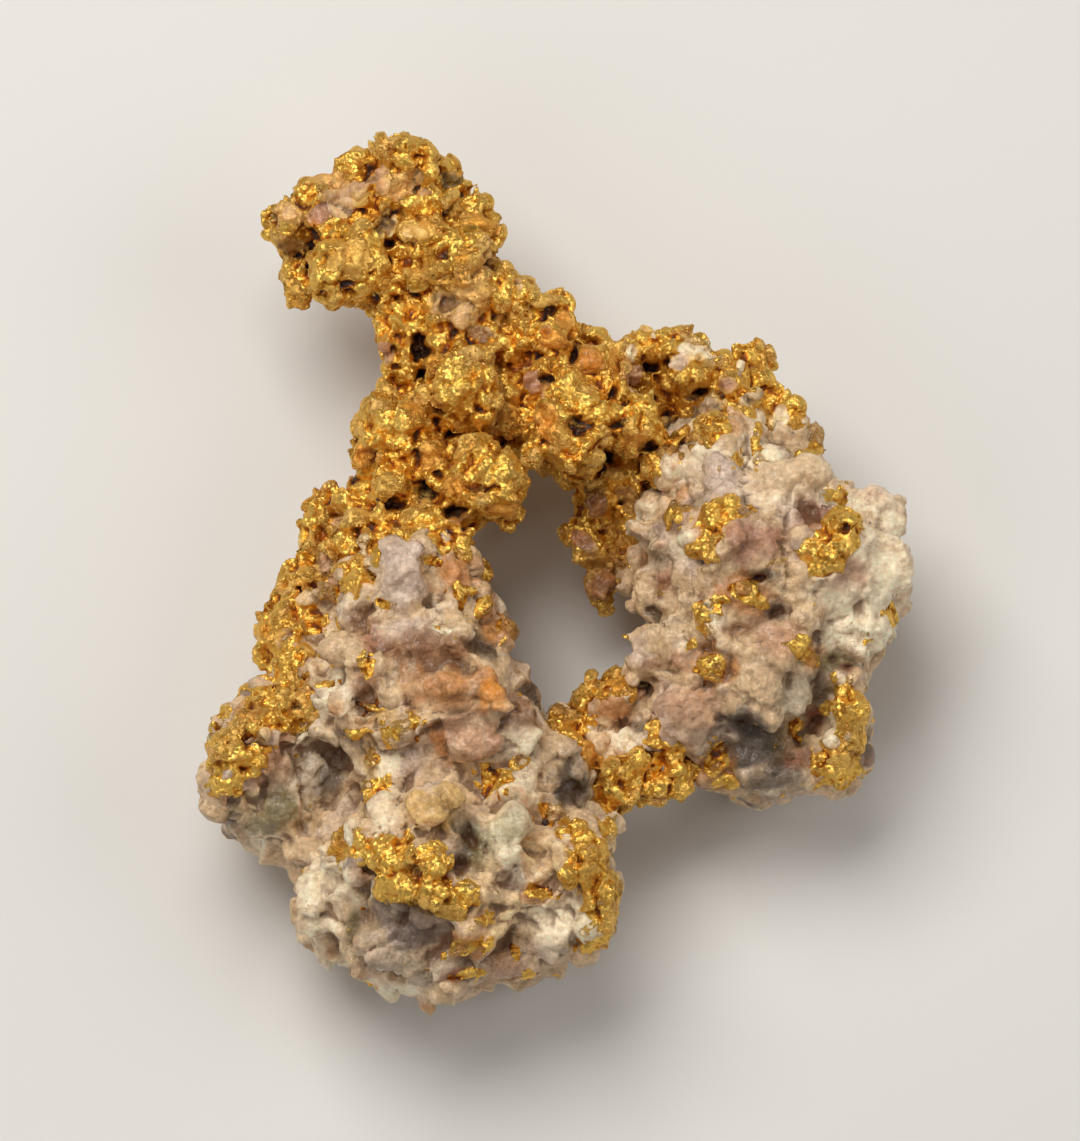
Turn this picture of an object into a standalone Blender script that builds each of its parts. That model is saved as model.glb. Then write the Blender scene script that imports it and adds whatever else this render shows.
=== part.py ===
"""A gold nugget: native gold and milky vein quartz grown together into a ring, lying on its back.

A branch of gold nodules (the head and its neck) forks into two arms. Each arm runs onto a mass of
quartz, and a short link of grains and looped gold closes the ring at the near end. Every mineral body
is its own closed solid: round lobes are fused by a voxel remesh, covered with knobs that sharp grooves
part, roughened, cut back where a neighbour or the table takes the room, and thinned to a faceted surface.

Lobes are described as they show on the nugget's broad face: how far across, how far up the face, and
how high their centre is above the table, all in millimetres. The face leans a little off level, so a
lobe's place across and up the face is turned into x, y and z by place(). Build: run this file in
Blender. It clears the scene first.
"""

import math
import random

import bmesh
import bpy
from mathutils import Matrix, Vector

# ---- driving dimensions, millimetres unless the name says otherwise --------------------------------
MM = 0.001  # metres in a millimetre
FACE_LEAN_DEG = 15.0  # the broad face is described from this far in front of straight above
GAP = 0.3  # room left between two minerals where they meet
VOXEL_GOLD = 0.30  # size of the cells that fuse the lobes
VOXEL_QUARTZ = 0.40
ROUGH_GOLD = 0.30  # how far the hackly surface swings, in and out together
ROUGH_QUARTZ = 0.42
GRAIN_GOLD = 0.8  # size of the swings
GRAIN_QUARTZ = 1.5
KNOB_GOLD = 1.5  # size of the knobs that cover the skin, with sharp grooves between them
KNOB_QUARTZ = 2.4
GROOVE_GOLD = 0.7  # how deep the grooves run
GROOVE_QUARTZ = 1.0
GROOVE_CRUST = 0.3
SINK = 0.25  # share of a perched lump's radius that lies below the surface under it
CRUST = 1.2  # half depth of a lump of gold that has grown over quartz
PIT_DEPTH = 0.8  # half depth of a pit
BALL_FACES = 3  # icosphere subdivisions
CENTRE_ACROSS = -0.07  # the middle of the whole nugget's box, so that it stands on the origin
CENTRE_BACK = 15.8
TABLE = 60.0  # side of the block that levels the feet
TABLE_NAME = "table"
RIM_STEPS = 8
KNOB_MIDDLE = 0.45  # the textures' values that leave the skin where it is
CLOUD_MIDDLE = 0.5
HIDDEN_RIM = 0.8  # a knob behind the nugget stays hidden by this many of its radii

GOLD = ((0.86, 0.56, 0.13, 1), 0.28, 1.0)
QUARTZ = ((0.72, 0.64, 0.57, 1), 0.55, 0.0)
AMBER_QUARTZ = ((0.55, 0.36, 0.17, 1), 0.5, 0.0)

# ---- the lobes ------------------------------------------------------------------------------------
# A lobe: (across, up, height of its centre, radius) for a ball, or
#         (across, up, height, half width, half length, half depth, turn in degrees) for an oval.
# A perched lump: (across, up, radius) or (across, up, half width, half length, turn in degrees). It
# sits on the lobes under it, so it needs no height.

HEAD_LOBES = (
    (-6.2, 33.0, 7.6, 1.45),  # top lobe
    (-8.1, 33.6, 7.0, 0.68),
    (-5.2, 33.1, 7.0, 1.0),
    (-3.8, 32.4, 6.6, 0.62),
    (-3.3, 30.8, 6.8, 1.15),
    (-10.8, 31.0, 6.6, 1.2),  # left lobe
    (-8.8, 31.7, 6.6, 2.1, 1.5, 1.7, 0),
    (-6.4, 30.5, 6.2, 2.7, 2.5, 2.6, 0),  # body of the head
    (-8.6, 29.1, 7.4, 1.65, 1.6, 1.7, 0),  # square lower left block
    (-10.4, 29.9, 6.0, 0.95),
    (-10.7, 29.0, 5.9, 0.55),
    (-10.6, 28.2, 6.0, 0.58),  # dangling nodule
    (-3.7, 29.0, 8.4, 2.0, 1.1, 1.1, -25),  # overhanging sheet
    (-4.2, 27.3, 7.8, 1.7, 1.15, 1.4, -15),
    (-5.7, 28.1, 7.0, 1.4),
    (-2.1, 28.4, 7.2, 0.95),
    (-2.2, 27.3, 7.0, 0.9),
    (-6.5, 26.7, 6.8, 0.92),  # neck
    (-6.7, 25.6, 6.8, 0.84),
    (-6.2, 24.7, 6.2, 0.8),
    (-4.8, 26.0, 7.6, 0.9),
    (-3.2, 26.0, 7.0, 1.3),
    (-2.2, 26.5, 7.2, 0.85),
    (-4.6, 25.8, 4.8, 1.8, 2.0, 1.8, 0),  # backbone of the neck
    (-5.8, 28.6, 4.8, 2.0, 2.2, 1.8, 0),
)
HEAD_LUMPS = (
    (-6.6, 33.8, 0.55),
    (-5.6, 33.8, 0.5),
    (-9.6, 32.4, 0.5),
    (-7.2, 32.7, 0.6),
    (-9.0, 31.0, 0.8, 0.55, 10),
    (-7.2, 31.4, 0.55),
    (-4.9, 31.8, 0.8),
    (-7.9, 29.6, 0.9, 0.6, 20),
    (-9.1, 28.6, 0.6),
    (-5.0, 29.9, 1.0, 0.55, -20),
    (-2.9, 28.2, 0.6),
    (-4.0, 28.4, 0.9, 0.45, -20),
    (-10.9, 30.3, 0.5),
    (-6.7, 29.0, 0.6),
)

HEAD_PITS = (
    (-7.0, 30.1, 0.5, 0.75, -20),
    (-6.6, 29.5, 0.45, 0.5, 0),
)

LEFT_ARM_LOBES = (
    (-3.8, 24.1, 8.4, 1.6),
    (-6.6, 22.5, 7.4, 1.75, 1.5, 1.5, 10),
    (-7.6, 23.4, 6.8, 0.66),
    (-7.6, 21.4, 6.8, 0.66),
    (-2.9, 20.6, 8.5, 1.6),  # nodule over the ring's hole
    (-2.4, 19.6, 7.8, 1.05),
    (-3.6, 19.3, 7.6, 0.8),
    (-4.4, 20.2, 8.8, 0.66),
    (-1.7, 23.0, 7.6, 0.62),
    (-1.2, 21.5, 7.6, 0.42),
    (-5.2, 21.5, 7.8, 0.9),
    (-6.6, 20.2, 7.6, 1.0),
    (-5.4, 19.2, 8.0, 0.9, 0.5, 0.6, 0),
    (-4.9, 22.4, 5.0, 2.2, 2.0, 2.0, 0),  # backbone
    (-3.2, 22.4, 5.8, 1.6),
    (-6.2, 20.2, 5.2, 1.9, 1.8, 1.8, 0),
    (-4.2, 20.6, 5.8, 1.6),
    (-8.2, 19.8, 6.6, 0.85),  # row of small nodules at the quartz
    (-7.6, 19.0, 7.8, 0.75),
    (-6.6, 18.7, 8.5, 0.72),
    (-5.5, 18.4, 8.8, 0.68),
    (-4.5, 18.4, 8.8, 0.68),
    (-3.9, 17.9, 8.6, 0.62),
    (-9.3, 19.4, 5.8, 1.05),  # down the left flank
    (-9.5, 18.2, 5.8, 1.15),
    (-9.9, 17.0, 5.8, 1.15),
    (-10.5, 16.0, 5.6, 1.1),
    (-10.9, 15.0, 5.6, 1.15),
    (-10.9, 13.9, 5.8, 1.1),
    (-10.4, 13.0, 6.4, 0.85),
    (-8.4, 18.2, 7.8, 0.8),
    (-8.2, 17.2, 8.6, 0.8),
    (-7.8, 16.3, 9.2, 0.75),
    (-7.1, 15.5, 9.7, 0.65),
    (-4.6, 22.8, 3.4, 1.9),  # foot of the arch
    (-5.6, 23.4, 1.8, 1.5),
    (-4.6, 23.8, 0.9, 1.7),
    (-4.2, 22.6, 1.4, 1.5),
)
LEFT_ARM_LUMPS = (
    (-4.2, 25.0, 0.9, 0.6, 0),
    (-3.1, 23.6, 0.6),
    (-6.0, 23.3, 0.7),
    (-7.3, 22.2, 0.65),
    (-6.3, 21.6, 0.7, 0.5, 20),
    (-3.3, 21.4, 0.8, 0.5, -40),
    (-2.2, 20.9, 0.6),
    (-3.5, 19.9, 0.55),
    (-6.8, 20.5, 0.5),
)

LEFT_ARM_PITS = (
    (-5.6, 20.4, 0.75, 0.5, 0),
    (-4.8, 19.9, 0.5, 0.4, 0),
)

RIGHT_ARM_LOBES = (
    (-1.5, 24.2, 7.4, 1.1),
    (-1.7, 25.2, 7.0, 0.75),
    (-0.5, 27.4, 7.4, 1.15),  # upright lobe beside the neck
    (-0.3, 26.1, 7.6, 1.12),
    (1.2, 25.2, 7.6, 0.98),
    (0.6, 22.5, 8.2, 1.56),  # nodule over the ring's hole
    (0.1, 24.0, 8.3, 1.1),
    (0.9, 21.0, 7.4, 0.62),
    (2.2, 25.6, 7.4, 0.85),
    (2.6, 24.3, 8.1, 0.75),
    (2.9, 23.4, 8.5, 0.75),
    (3.2, 22.4, 8.4, 0.9),
    (3.4, 25.5, 6.9, 1.05),
    (4.9, 25.6, 7.4, 1.1),
    (5.4, 26.0, 7.0, 0.75),
    (6.2, 24.9, 7.4, 0.95),
    (7.6, 25.3, 6.8, 1.0),
    (8.0, 23.9, 6.8, 0.95),
    (9.0, 23.2, 6.4, 0.95),
    (9.5, 22.3, 6.0, 0.9),
    (7.0, 23.7, 7.4, 1.05),
    (6.2, 22.4, 8.8, 0.78),
    (6.8, 21.8, 8.6, 0.5),
    (5.3, 21.7, 7.8, 0.62),
    (4.4, 21.1, 7.4, 0.66),
    (3.7, 21.3, 7.2, 0.6),
    (-0.8, 24.4, 4.9, 1.8),  # backbone
    (1.6, 23.8, 4.9, 1.9),
    (4.0, 23.8, 4.9, 2.0),
    (6.6, 23.6, 4.8, 1.9),
    (0.2, 22.4, 5.4, 1.5),
    (-1.2, 22.6, 5.4, 0.95),
    (2.9, 22.2, 5.4, 1.4),
    (1.9, 21.4, 5.6, 0.95),
    (3.7, 20.8, 5.4, 0.95),
    (1.1, 26.4, 6.6, 0.65),
    (8.4, 22.6, 4.8, 1.5),
)
RIGHT_ARM_LUMPS = (
    (0.2, 23.4, 0.8, 0.5, 0),
    (1.4, 22.6, 0.6),
    (-0.3, 22.0, 0.7),
    (0.5, 21.5, 0.6),
    (-0.6, 27.9, 0.6),
    (0.3, 25.6, 0.6),
    (4.3, 26.1, 0.6),
    (5.4, 25.2, 0.6),
    (8.3, 25.6, 0.6),
    (7.2, 24.6, 0.65),
)

RIGHT_ARM_PITS = (
    (4.3, 22.8, 0.85, 0.75, 20),
    (5.0, 22.6, 0.6, 0.6, 0),
)

HANGING_LOBES = (
    (2.9, 20.4, 5.8, 0.62, 1.0, 0.8, 10),
    (1.7, 19.9, 6.2, 0.62),
    (3.1, 19.3, 5.8, 0.5),
    (1.0, 20.3, 4.4, 0.75),
    (1.3, 19.2, 4.6, 0.75),
    (0.4, 18.7, 3.8, 0.65),
    (1.2, 17.9, 4.4, 1.25, 0.68, 0.8, -35),
    (1.8, 16.7, 3.9, 0.75),
    (1.7, 15.9, 4.0, 0.72),
    (2.5, 17.4, 3.8, 0.9),
    (2.4, 19.6, 4.6, 0.9),
)

QUARTZ_LEFT_LOBES = (
    (-6.0, 15.0, 5.8, 3.3, 3.7, 4.1, 0),
    (-5.4, 12.0, 6.2, 4.4, 4.2, 4.8, 0),
    (-3.7, 14.4, 5.6, 1.9, 2.5, 3.4, 20),
    (-9.2, 13.4, 4.8, 1.7, 2.6, 3.0, 0),
    (-11.5, 9.4, 4.4, 2.6, 2.8, 3.2, 20),  # left lobe
    (-11.5, 7.7, 3.9, 2.3, 2.1, 2.7, 0),
    (-12.4, 10.1, 4.2, 1.8, 1.9, 2.2, 0),
    (-9.5, 6.3, 4.2, 1.8, 1.7, 2.6, 0),
    (-10.9, 12.3, 4.4, 1.2, 1.2, 1.6, 0),
    (-4.8, 5.2, 5.6, 4.8, 4.1, 4.9, 0),  # lower lobe
    (-8.2, 3.4, 4.4, 2.4, 2.5, 3.2, -30),
    (-4.8, 2.4, 4.6, 4.2, 2.6, 3.6, 0),
    (0.0, 4.6, 5.0, 2.2, 3.0, 3.8, 0),
    (0.9, 5.4, 4.6, 1.6, 2.0, 2.8, 0),
    (-1.5, 2.5, 4.6, 2.5, 2.0, 3.0, 10),
    (-2.8, 10.6, 5.8, 2.5, 2.2, 3.8, 0),
    (-0.8, 8.5, 5.4, 1.9, 2.2, 3.4, 0),
    (-2.1, 10.8, 5.2, 1.1, 1.3, 2.6, 40),
    (-5.0, 5.0, 2.7, 3.7, 3.2, 2.95, 0),  # foot
    (-7.6, 9.0, 3.2, 2.8, 2.6, 2.4, 20),  # underside
    (-4.4, 13.4, 3.4, 2.6, 2.6, 2.2, 0),
)
QUARTZ_LEFT_LUMPS = (
    (-6.4, 16.4, 1.25, 1.6, 0),  # violet-white lump
    (-4.2, 16.5, 1.1, 1.2, 20),
    (-4.2, 14.2, 1.2, 1.0, 0),
    (-8.0, 13.6, 1.1, 1.3, 0),
    (-4.2, 12.1, 1.8, 0.95, 5),  # amber block
    (-3.5, 10.2, 1.5, 0.95, 0),
    (-1.4, 9.8, 0.7),
    (-7.6, 11.0, 1.2, 1.0, 0),
    (-10.2, 11.4, 1.2, 0.9, 0),
    (-12.6, 9.4, 1.1, 1.2, 0),
    (-11.4, 7.2, 1.3, 1.1, 0),
    (-9.3, 8.6, 1.3, 1.0, 30),
    (-7.2, 8.8, 1.2, 1.2, 0),
    (-6.4, 7.4, 1.1, 0.9, 0),
    (-4.6, 7.6, 1.4, 1.1, 0),
    (-2.1, 6.4, 1.0),
    (-2.0, 7.9, 0.9, 0.7, 0),
    (0.2, 5.4, 1.3, 1.3, 0),
    (-8.9, 3.6, 1.4, 1.2, -30),
    (-9.4, 5.0, 0.9),
    (-6.0, 2.6, 1.5, 1.4, 0),
    (-3.6, 2.6, 1.3, 1.1, 0),
    (-2.2, 3.6, 1.3, 1.1, 20),
    (-0.4, 2.3, 1.2, 0.9, 0),
    (-7.6, 1.6, 1.2, 0.8, -20),
    (-4.6, 0.9, 1.3, 0.8, 0),
    (1.3, 6.6, 0.8, 1.0, 0),
    (1.2, 3.9, 0.8),
)
QUARTZ_LEFT_PITS = (
    (-3.5, 6.3, 0.6, 0.8, 5),
    (-3.7, 5.4, 0.75, 0.7, 0),
    (-3.1, 13.9, 0.45, 0.9, -40),
    (-2.4, 13.1, 0.4, 0.8, -35),
    (-10.2, 9.2, 0.7, 0.9, 20),
)

QUARTZ_RIGHT_LOBES = (
    (8.0, 17.0, 6.2, 4.3, 4.5, 4.9, 0),
    (11.4, 16.4, 5.8, 2.6, 3.2, 3.5, 0),
    (12.2, 17.4, 5.6, 1.8, 2.3, 2.5, 0),
    (7.2, 13.2, 5.6, 3.7, 3.1, 4.3, 0),
    (6.8, 20.8, 6.0, 2.8, 2.4, 3.2, 0),
    (8.8, 21.0, 5.8, 1.8, 2.0, 2.8, 0),
    (5.2, 17.2, 5.6, 2.2, 3.1, 3.3, 0),
    (4.7, 14.0, 6.0, 1.8, 1.6, 2.5, 0),
    (8.4, 9.6, 3.6, 3.0, 2.1, 2.8, 0),
    (6.5, 9.4, 3.8, 1.4, 1.5, 2.0, 0),
    (11.0, 10.8, 4.4, 1.4, 2.3, 2.4, 0),
    (10.7, 13.2, 5.0, 2.0, 2.1, 3.1, 0),
    (11.4, 19.4, 5.6, 1.3, 1.25, 1.8, -30),
    (5.2, 11.4, 5.4, 1.5, 1.4, 1.9, 0),  # pink block
    (8.4, 14.4, 2.7, 3.4, 3.0, 2.95, 0),  # foot
    (7.2, 19.4, 3.2, 2.6, 2.4, 2.2, 0),  # underside
)
QUARTZ_RIGHT_LUMPS = (
    (6.4, 23.4, 1.0, 1.1, 0),
    (6.6, 20.4, 0.9, 1.3, 10),
    (8.9, 20.2, 1.8, 0.95, -10),
    (7.6, 17.8, 1.3, 1.2, 0),
    (2.9, 18.9, 0.7, 0.6, 0),
    (3.6, 18.4, 0.8),
    (4.4, 18.6, 0.9),
    (5.4, 18.8, 1.0),
    (12.5, 17.3, 1.3, 1.4, 0),
    (12.6, 18.5, 0.85),
    (11.6, 14.9, 1.3),
    (12.2, 16.0, 1.1),
    (10.8, 16.8, 1.0),
    (9.8, 15.0, 0.8),
    (10.6, 18.6, 1.2, 1.0, 0),
    (8.0, 12.0, 1.4, 1.0, 0),
    (8.6, 13.4, 0.95),
    (7.0, 14.2, 1.0),
    (3.6, 13.4, 1.0),
    (3.3, 15.5, 0.9),
    (5.2, 14.8, 0.95),
    (5.6, 16.0, 0.8),
    (5.2, 11.4, 1.2, 1.2, 30),
    (8.4, 8.9, 1.5, 1.0, 0),
    (11.4, 11.6, 0.95),
    (12.0, 10.0, 0.7),
    (6.9, 15.8, 0.7),
    (10.2, 13.0, 0.9),
    (6.2, 9.6, 0.9),
)
QUARTZ_RIGHT_PITS = (
    (10.3, 19.1, 0.75, 0.7, 0),
    (10.0, 18.6, 0.6, 0.5, 0),
    (7.9, 16.5, 0.8, 0.45, 10),
    (8.4, 15.2, 0.7, 0.6, -20),
    (9.1, 15.0, 0.6, 0.45, -20),
    (7.4, 10.9, 0.9, 0.6, 10),
)

LINK_QUARTZ_LOBES = (
    (2.8, 11.4, 5.8, 1.25),
    (2.5, 9.9, 5.4, 1.2),
    (1.1, 10.7, 4.8, 1.2),
    (0.6, 8.6, 3.8, 1.3, 1.5, 1.5, 0),  # dark grain below
    (2.0, 9.0, 4.2, 1.4),
    (3.7, 10.6, 5.0, 1.1),
)
LINK_GOLD_LOBES = (
    (2.2, 12.4, 6.6, 1.12, 0.82, 0.9, 10),
    (0.9, 11.6, 5.9, 0.82),
    (0.1, 10.9, 6.0, 0.66),
    (0.3, 9.9, 6.4, 1.02),
    (1.6, 8.9, 5.9, 0.75),
    (2.1, 8.0, 5.6, 0.85),
    (2.9, 8.3, 5.9, 0.7),
    (3.8, 8.3, 5.8, 0.72),
    (4.7, 8.8, 5.9, 0.75),
    (4.8, 9.7, 6.2, 0.6),
    (3.9, 10.1, 6.6, 0.6),
    (3.0, 9.5, 6.6, 0.55),
    (2.3, 8.8, 6.3, 0.6),
    (1.4, 12.0, 6.2, 0.7),
)

# Gold grown over the quartz. These are perched on the quartz under them.
VEIN_LEFT_LUMPS = (
    (-9.2, 12.4, 0.85, 0.7, 0),
    (-10.2, 12.2, 0.9, 0.8, 0),
    (-11.1, 11.7, 1.0, 0.9, 10),
    (-12.0, 11.4, 0.95, 0.85, 20),
    (-12.8, 10.6, 0.95, 0.9, 0),
    (-13.3, 9.7, 0.85, 0.95, 0),
    (-13.4, 8.7, 0.8, 0.95, 0),
    (-12.4, 9.9, 0.8),
    (-11.7, 10.7, 0.7),
    (-10.3, 11.4, 0.7),
)
SEAM_LOW_LUMPS = (
    (-8.4, 6.1, 0.8, 0.7, 0),
    (-7.6, 6.0, 0.9, 0.75, 0),
    (-6.8, 5.7, 1.0, 0.9, 0),
    (-6.0, 5.4, 1.1, 0.95, 0),
    (-6.5, 4.6, 0.85, 0.8, 0),
    (-5.6, 4.7, 0.95, 0.85, 0),
    (-4.8, 4.3, 0.9, 0.8, 0),
    (-4.0, 4.0, 0.8, 0.7, 0),
    (-5.1, 5.6, 0.7, 0.7, 0),
)
STRIPE_LOW_LUMPS = (
    (-0.1, 7.2, 0.75),
    (0.5, 6.6, 0.8),
    (1.1, 5.9, 0.85),
    (0.7, 5.2, 0.6),
    (1.6, 5.0, 0.85, 0.95, 0),
    (1.8, 4.1, 0.8, 0.9, 0),
    (1.6, 3.3, 0.85),
    (1.3, 2.6, 0.95),
)
KNOB_RIGHT_LUMPS = (
    (11.6, 11.6, 0.7, 0.85, 0),
    (11.7, 10.8, 0.75, 0.85, 0),
    (11.3, 10.1, 0.85),
    (11.2, 9.3, 0.95),
    (10.4, 9.1, 0.85),
)
RIM_RIGHT_LUMPS = (
    (11.3, 19.6, 0.8, 0.8, 0),
    (11.4, 18.8, 0.75, 0.85, 0),
    (11.0, 18.1, 0.8, 0.75, 0),
    (10.3, 17.7, 0.8, 0.75, 0),
)
BAR_RIGHT_LUMPS = (
    (6.6, 19.4, 0.8, 0.75, 0),
    (6.2, 18.7, 0.8, 0.85, 0),
    (5.9, 18.0, 0.75, 0.8, 0),
)


# ---- places on the face ---------------------------------------------------------------------------
LEAN = math.radians(FACE_LEAN_DEG)
ACROSS = Vector((1, 0, 0))
UP_FACE = Vector((0, math.cos(LEAN), math.sin(LEAN)))
OUT = Vector((0, -math.sin(LEAN), math.cos(LEAN)))


def depth_at(up, height):
    """How far out of the face a point lies that shows at this height up it and is this high."""
    return (height - up * UP_FACE.z) / OUT.z


def place(across, up, out):
    """The point in millimetres, from the nugget's own origin under its middle."""
    point = ACROSS * across + UP_FACE * up + OUT * out
    return point - Vector((CENTRE_ACROSS, CENTRE_BACK, 0))


class Lobe:
    """An oval whose half depth points straight out of the face."""

    def __init__(self, across, up, out, wide, tall, deep, turn=0.0):
        self.across, self.up, self.out = across, up, out
        self.wide, self.tall, self.deep = wide, tall, deep
        self.turn = math.radians(turn)

    def surface(self, across, up, side=1):
        """How far out its front (side 1) or back (-1) lies at this place, or None beside it."""
        away, along = across - self.across, up - self.up
        c, s = math.cos(self.turn), math.sin(self.turn)
        x = (away * c + along * s) / self.wide
        y = (along * c - away * s) / self.tall
        left = 1 - x * x - y * y
        return None if left <= 0 else self.out + side * self.deep * math.sqrt(left)

    def holds(self, across, up, out, margin=0.0):
        """True if the point lies inside the oval by more than the margin."""
        if margin >= min(self.wide, self.tall, self.deep):
            return False
        away, along = across - self.across, up - self.up
        c, s = math.cos(self.turn), math.sin(self.turn)
        x = (away * c + along * s) / (self.wide - margin)
        y = (along * c - away * s) / (self.tall - margin)
        z = (out - self.out) / (self.deep - margin)
        return x * x + y * y + z * z < 1


def read_lobes(rows):
    """Lobes from a table's rows, each with its own height above the table."""
    lobes = []
    for across, up, height, wide, *more in rows:
        tall, deep, turn = more if more else (wide, wide, 0)
        lobes.append(Lobe(across, up, depth_at(up, height), wide, tall, deep, turn))
    return lobes


def perched(rows, ground, half_depth=None):
    """Lumps that sit on the front of the lobes under them, or beside the nearest one's rim.

    With a half depth, their middles lie right at that front: a crust or, carved out, a pit.
    """
    lumps = []
    for across, up, wide, *more in rows:
        tall, turn = more if more else (wide, 0)
        fronts = [f for f in (g.surface(across, up) for g in ground) if f is not None]
        nearest = min(ground, key=lambda g: math.hypot(g.across - across, g.up - up))
        top = max(fronts) if fronts else nearest.out
        deep = half_depth or min(wide, tall)
        out = top if half_depth else top - deep * SINK
        lumps.append(Lobe(across, up, out, wide, tall, deep, turn))
    return lumps


def behind_something(lobes, across, up, radius):
    """True if lobes hide all of a ball of this radius from the front."""
    rim = [(across, up)]
    for step in range(RIM_STEPS):
        spin = math.tau * step / RIM_STEPS
        rim.append((across + radius * math.cos(spin), up + radius * math.sin(spin)))
    return all(any(g.surface(x, y) is not None for g in lobes) for x, y in rim)


def knobs_behind(lobes, count, smallest, largest, seed):
    """Lumps strewn over the back and the sides, where no table row names them."""
    dice = random.Random(seed)
    knobs = []
    while len(knobs) < count:
        lobe = dice.choice(lobes)
        spin, rise = dice.uniform(0, math.tau), dice.uniform(-1, 0.1)
        flat = math.sqrt(1 - rise * rise)
        radius = dice.uniform(smallest, largest)
        across = lobe.across + (lobe.wide - radius * SINK) * flat * math.cos(spin) * 0.94
        up = lobe.up + (lobe.tall - radius * SINK) * flat * math.sin(spin) * 0.94
        out = lobe.out + (lobe.deep - radius * SINK) * rise
        buried = any(g is not lobe and g.holds(across, up, out, radius * 0.4) for g in lobes)
        if not buried and behind_something(lobes, across, up, radius * HIDDEN_RIM):
            knobs.append(Lobe(across, up, out, radius, radius, radius))
    return knobs


# ---- solids ---------------------------------------------------------------------------------------
def material(name, look):
    """A plain material with this colour, roughness and metallic value."""
    colour, roughness, metallic = look
    made = bpy.data.materials.new(name)
    made.use_nodes = True
    shader = made.node_tree.nodes["Principled BSDF"]
    shader.inputs["Base Color"].default_value = colour
    shader.inputs["Roughness"].default_value = roughness
    shader.inputs["Metallic"].default_value = metallic
    made.diffuse_color = colour
    made.roughness = roughness
    made.metallic = metallic
    return made


class Mineral:
    """What a body of gold or quartz has in common: its fusing cell, relief and material."""

    def __init__(self, voxel, knob, groove, grain, rough, look):
        self.voxel, self.look = voxel, look
        self.knob, self.groove = knob, groove
        self.grain, self.rough = grain, rough


GOLD_KIND = Mineral(VOXEL_GOLD, KNOB_GOLD, GROOVE_GOLD, GRAIN_GOLD, ROUGH_GOLD, GOLD)
QUARTZ_KIND = Mineral(VOXEL_QUARTZ, KNOB_QUARTZ, GROOVE_QUARTZ, GRAIN_QUARTZ, ROUGH_QUARTZ, QUARTZ)
CRUST_KIND = Mineral(VOXEL_GOLD, KNOB_GOLD, GROOVE_CRUST, GRAIN_GOLD, ROUGH_GOLD, GOLD)
AMBER_KIND = Mineral(VOXEL_GOLD, KNOB_GOLD, GROOVE_GOLD, GRAIN_QUARTZ, ROUGH_GOLD, AMBER_QUARTZ)


def new_object(name, bm):
    """An object made from a bmesh, which it frees."""
    mesh = bpy.data.meshes.new(name)
    bm.to_mesh(mesh)
    bm.free()
    thing = bpy.data.objects.new(name, mesh)
    bpy.context.collection.objects.link(thing)
    return thing


def balls(name, lobes, grow=0.0):
    """One mesh of overlapping ovals, each swollen by grow."""
    bm = bmesh.new()
    axes = Matrix((ACROSS, UP_FACE, OUT)).transposed().to_4x4()
    for lobe in lobes:
        turn = Matrix.Rotation(lobe.turn, 4, "Z")
        size = Matrix.Diagonal((lobe.wide + grow, lobe.tall + grow, lobe.deep + grow, 1))
        centre = Matrix.Translation(place(lobe.across, lobe.up, lobe.out))
        where = Matrix.Scale(MM, 4) @ centre @ axes @ turn @ size
        bmesh.ops.create_icosphere(bm, subdivisions=BALL_FACES, radius=1, matrix=where)
    return new_object(name, bm)


def settle(thing):
    """Bakes the modifiers into the mesh and drops crumbs that a cut has left loose."""
    graph = bpy.context.evaluated_depsgraph_get()
    mesh = bpy.data.meshes.new_from_object(thing.evaluated_get(graph))
    thing.modifiers.clear()
    thing.data = mesh
    mesh.name = thing.name
    bm = bmesh.new()
    bm.from_mesh(mesh)
    left, bodies = set(bm.verts), []
    while left:
        body, edge = set(), [left.pop()]
        while edge:
            vert = edge.pop()
            body.add(vert)
            near = {link.other_vert(vert) for link in vert.link_edges} & left
            left -= near
            edge.extend(near)
        bodies.append(body)
    bodies.sort(key=len, reverse=True)
    crumbs = [vert for body in bodies[1:] for vert in body]
    bmesh.ops.delete(bm, geom=crumbs, context="VERTS")
    bm.to_mesh(mesh)
    bm.free()


def even_skin(thing, kind):
    """Wraps the thing in one closed skin of even cells."""
    skin = thing.modifiers.new("Skin", "REMESH")
    skin.mode = "VOXEL"
    skin.voxel_size = kind.voxel * MM
    settle(thing)


def swing(thing, texture, reach, middle):
    """Moves the skin in and out by a texture that fills space, middle being its still value."""
    relief = thing.modifiers.new("Relief", "DISPLACE")
    relief.texture = texture
    relief.texture_coords = "LOCAL"
    relief.strength = reach * MM
    relief.mid_level = middle


def fuse(thing, kind):
    """Fuses the ovals to one skin, covers it with knobs and roughens it."""
    even_skin(thing, kind)
    cells = bpy.data.textures.new("knobs_" + thing.name, "VORONOI")
    cells.noise_scale = kind.knob * MM
    swing(thing, cells, -kind.groove, KNOB_MIDDLE)
    clouds = bpy.data.textures.new("rough_" + thing.name, "CLOUDS")
    clouds.noise_scale = kind.grain * MM
    clouds.noise_depth = 1
    swing(thing, clouds, kind.rough, CLOUD_MIDDLE)
    settle(thing)


def facet(thing, faces):
    """Thins the skin to about this many triangles."""
    triangles = sum(len(face.vertices) - 2 for face in thing.data.polygons)
    if triangles > faces:
        thin = thing.modifiers.new("Facets", "DECIMATE")
        thin.ratio = faces / triangles
        settle(thing)


def cutter(thing):
    """Marks a helper that cuts but isn't part of the nugget."""
    thing.hide_render = True
    thing.display_type = "WIRE"
    return thing


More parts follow.
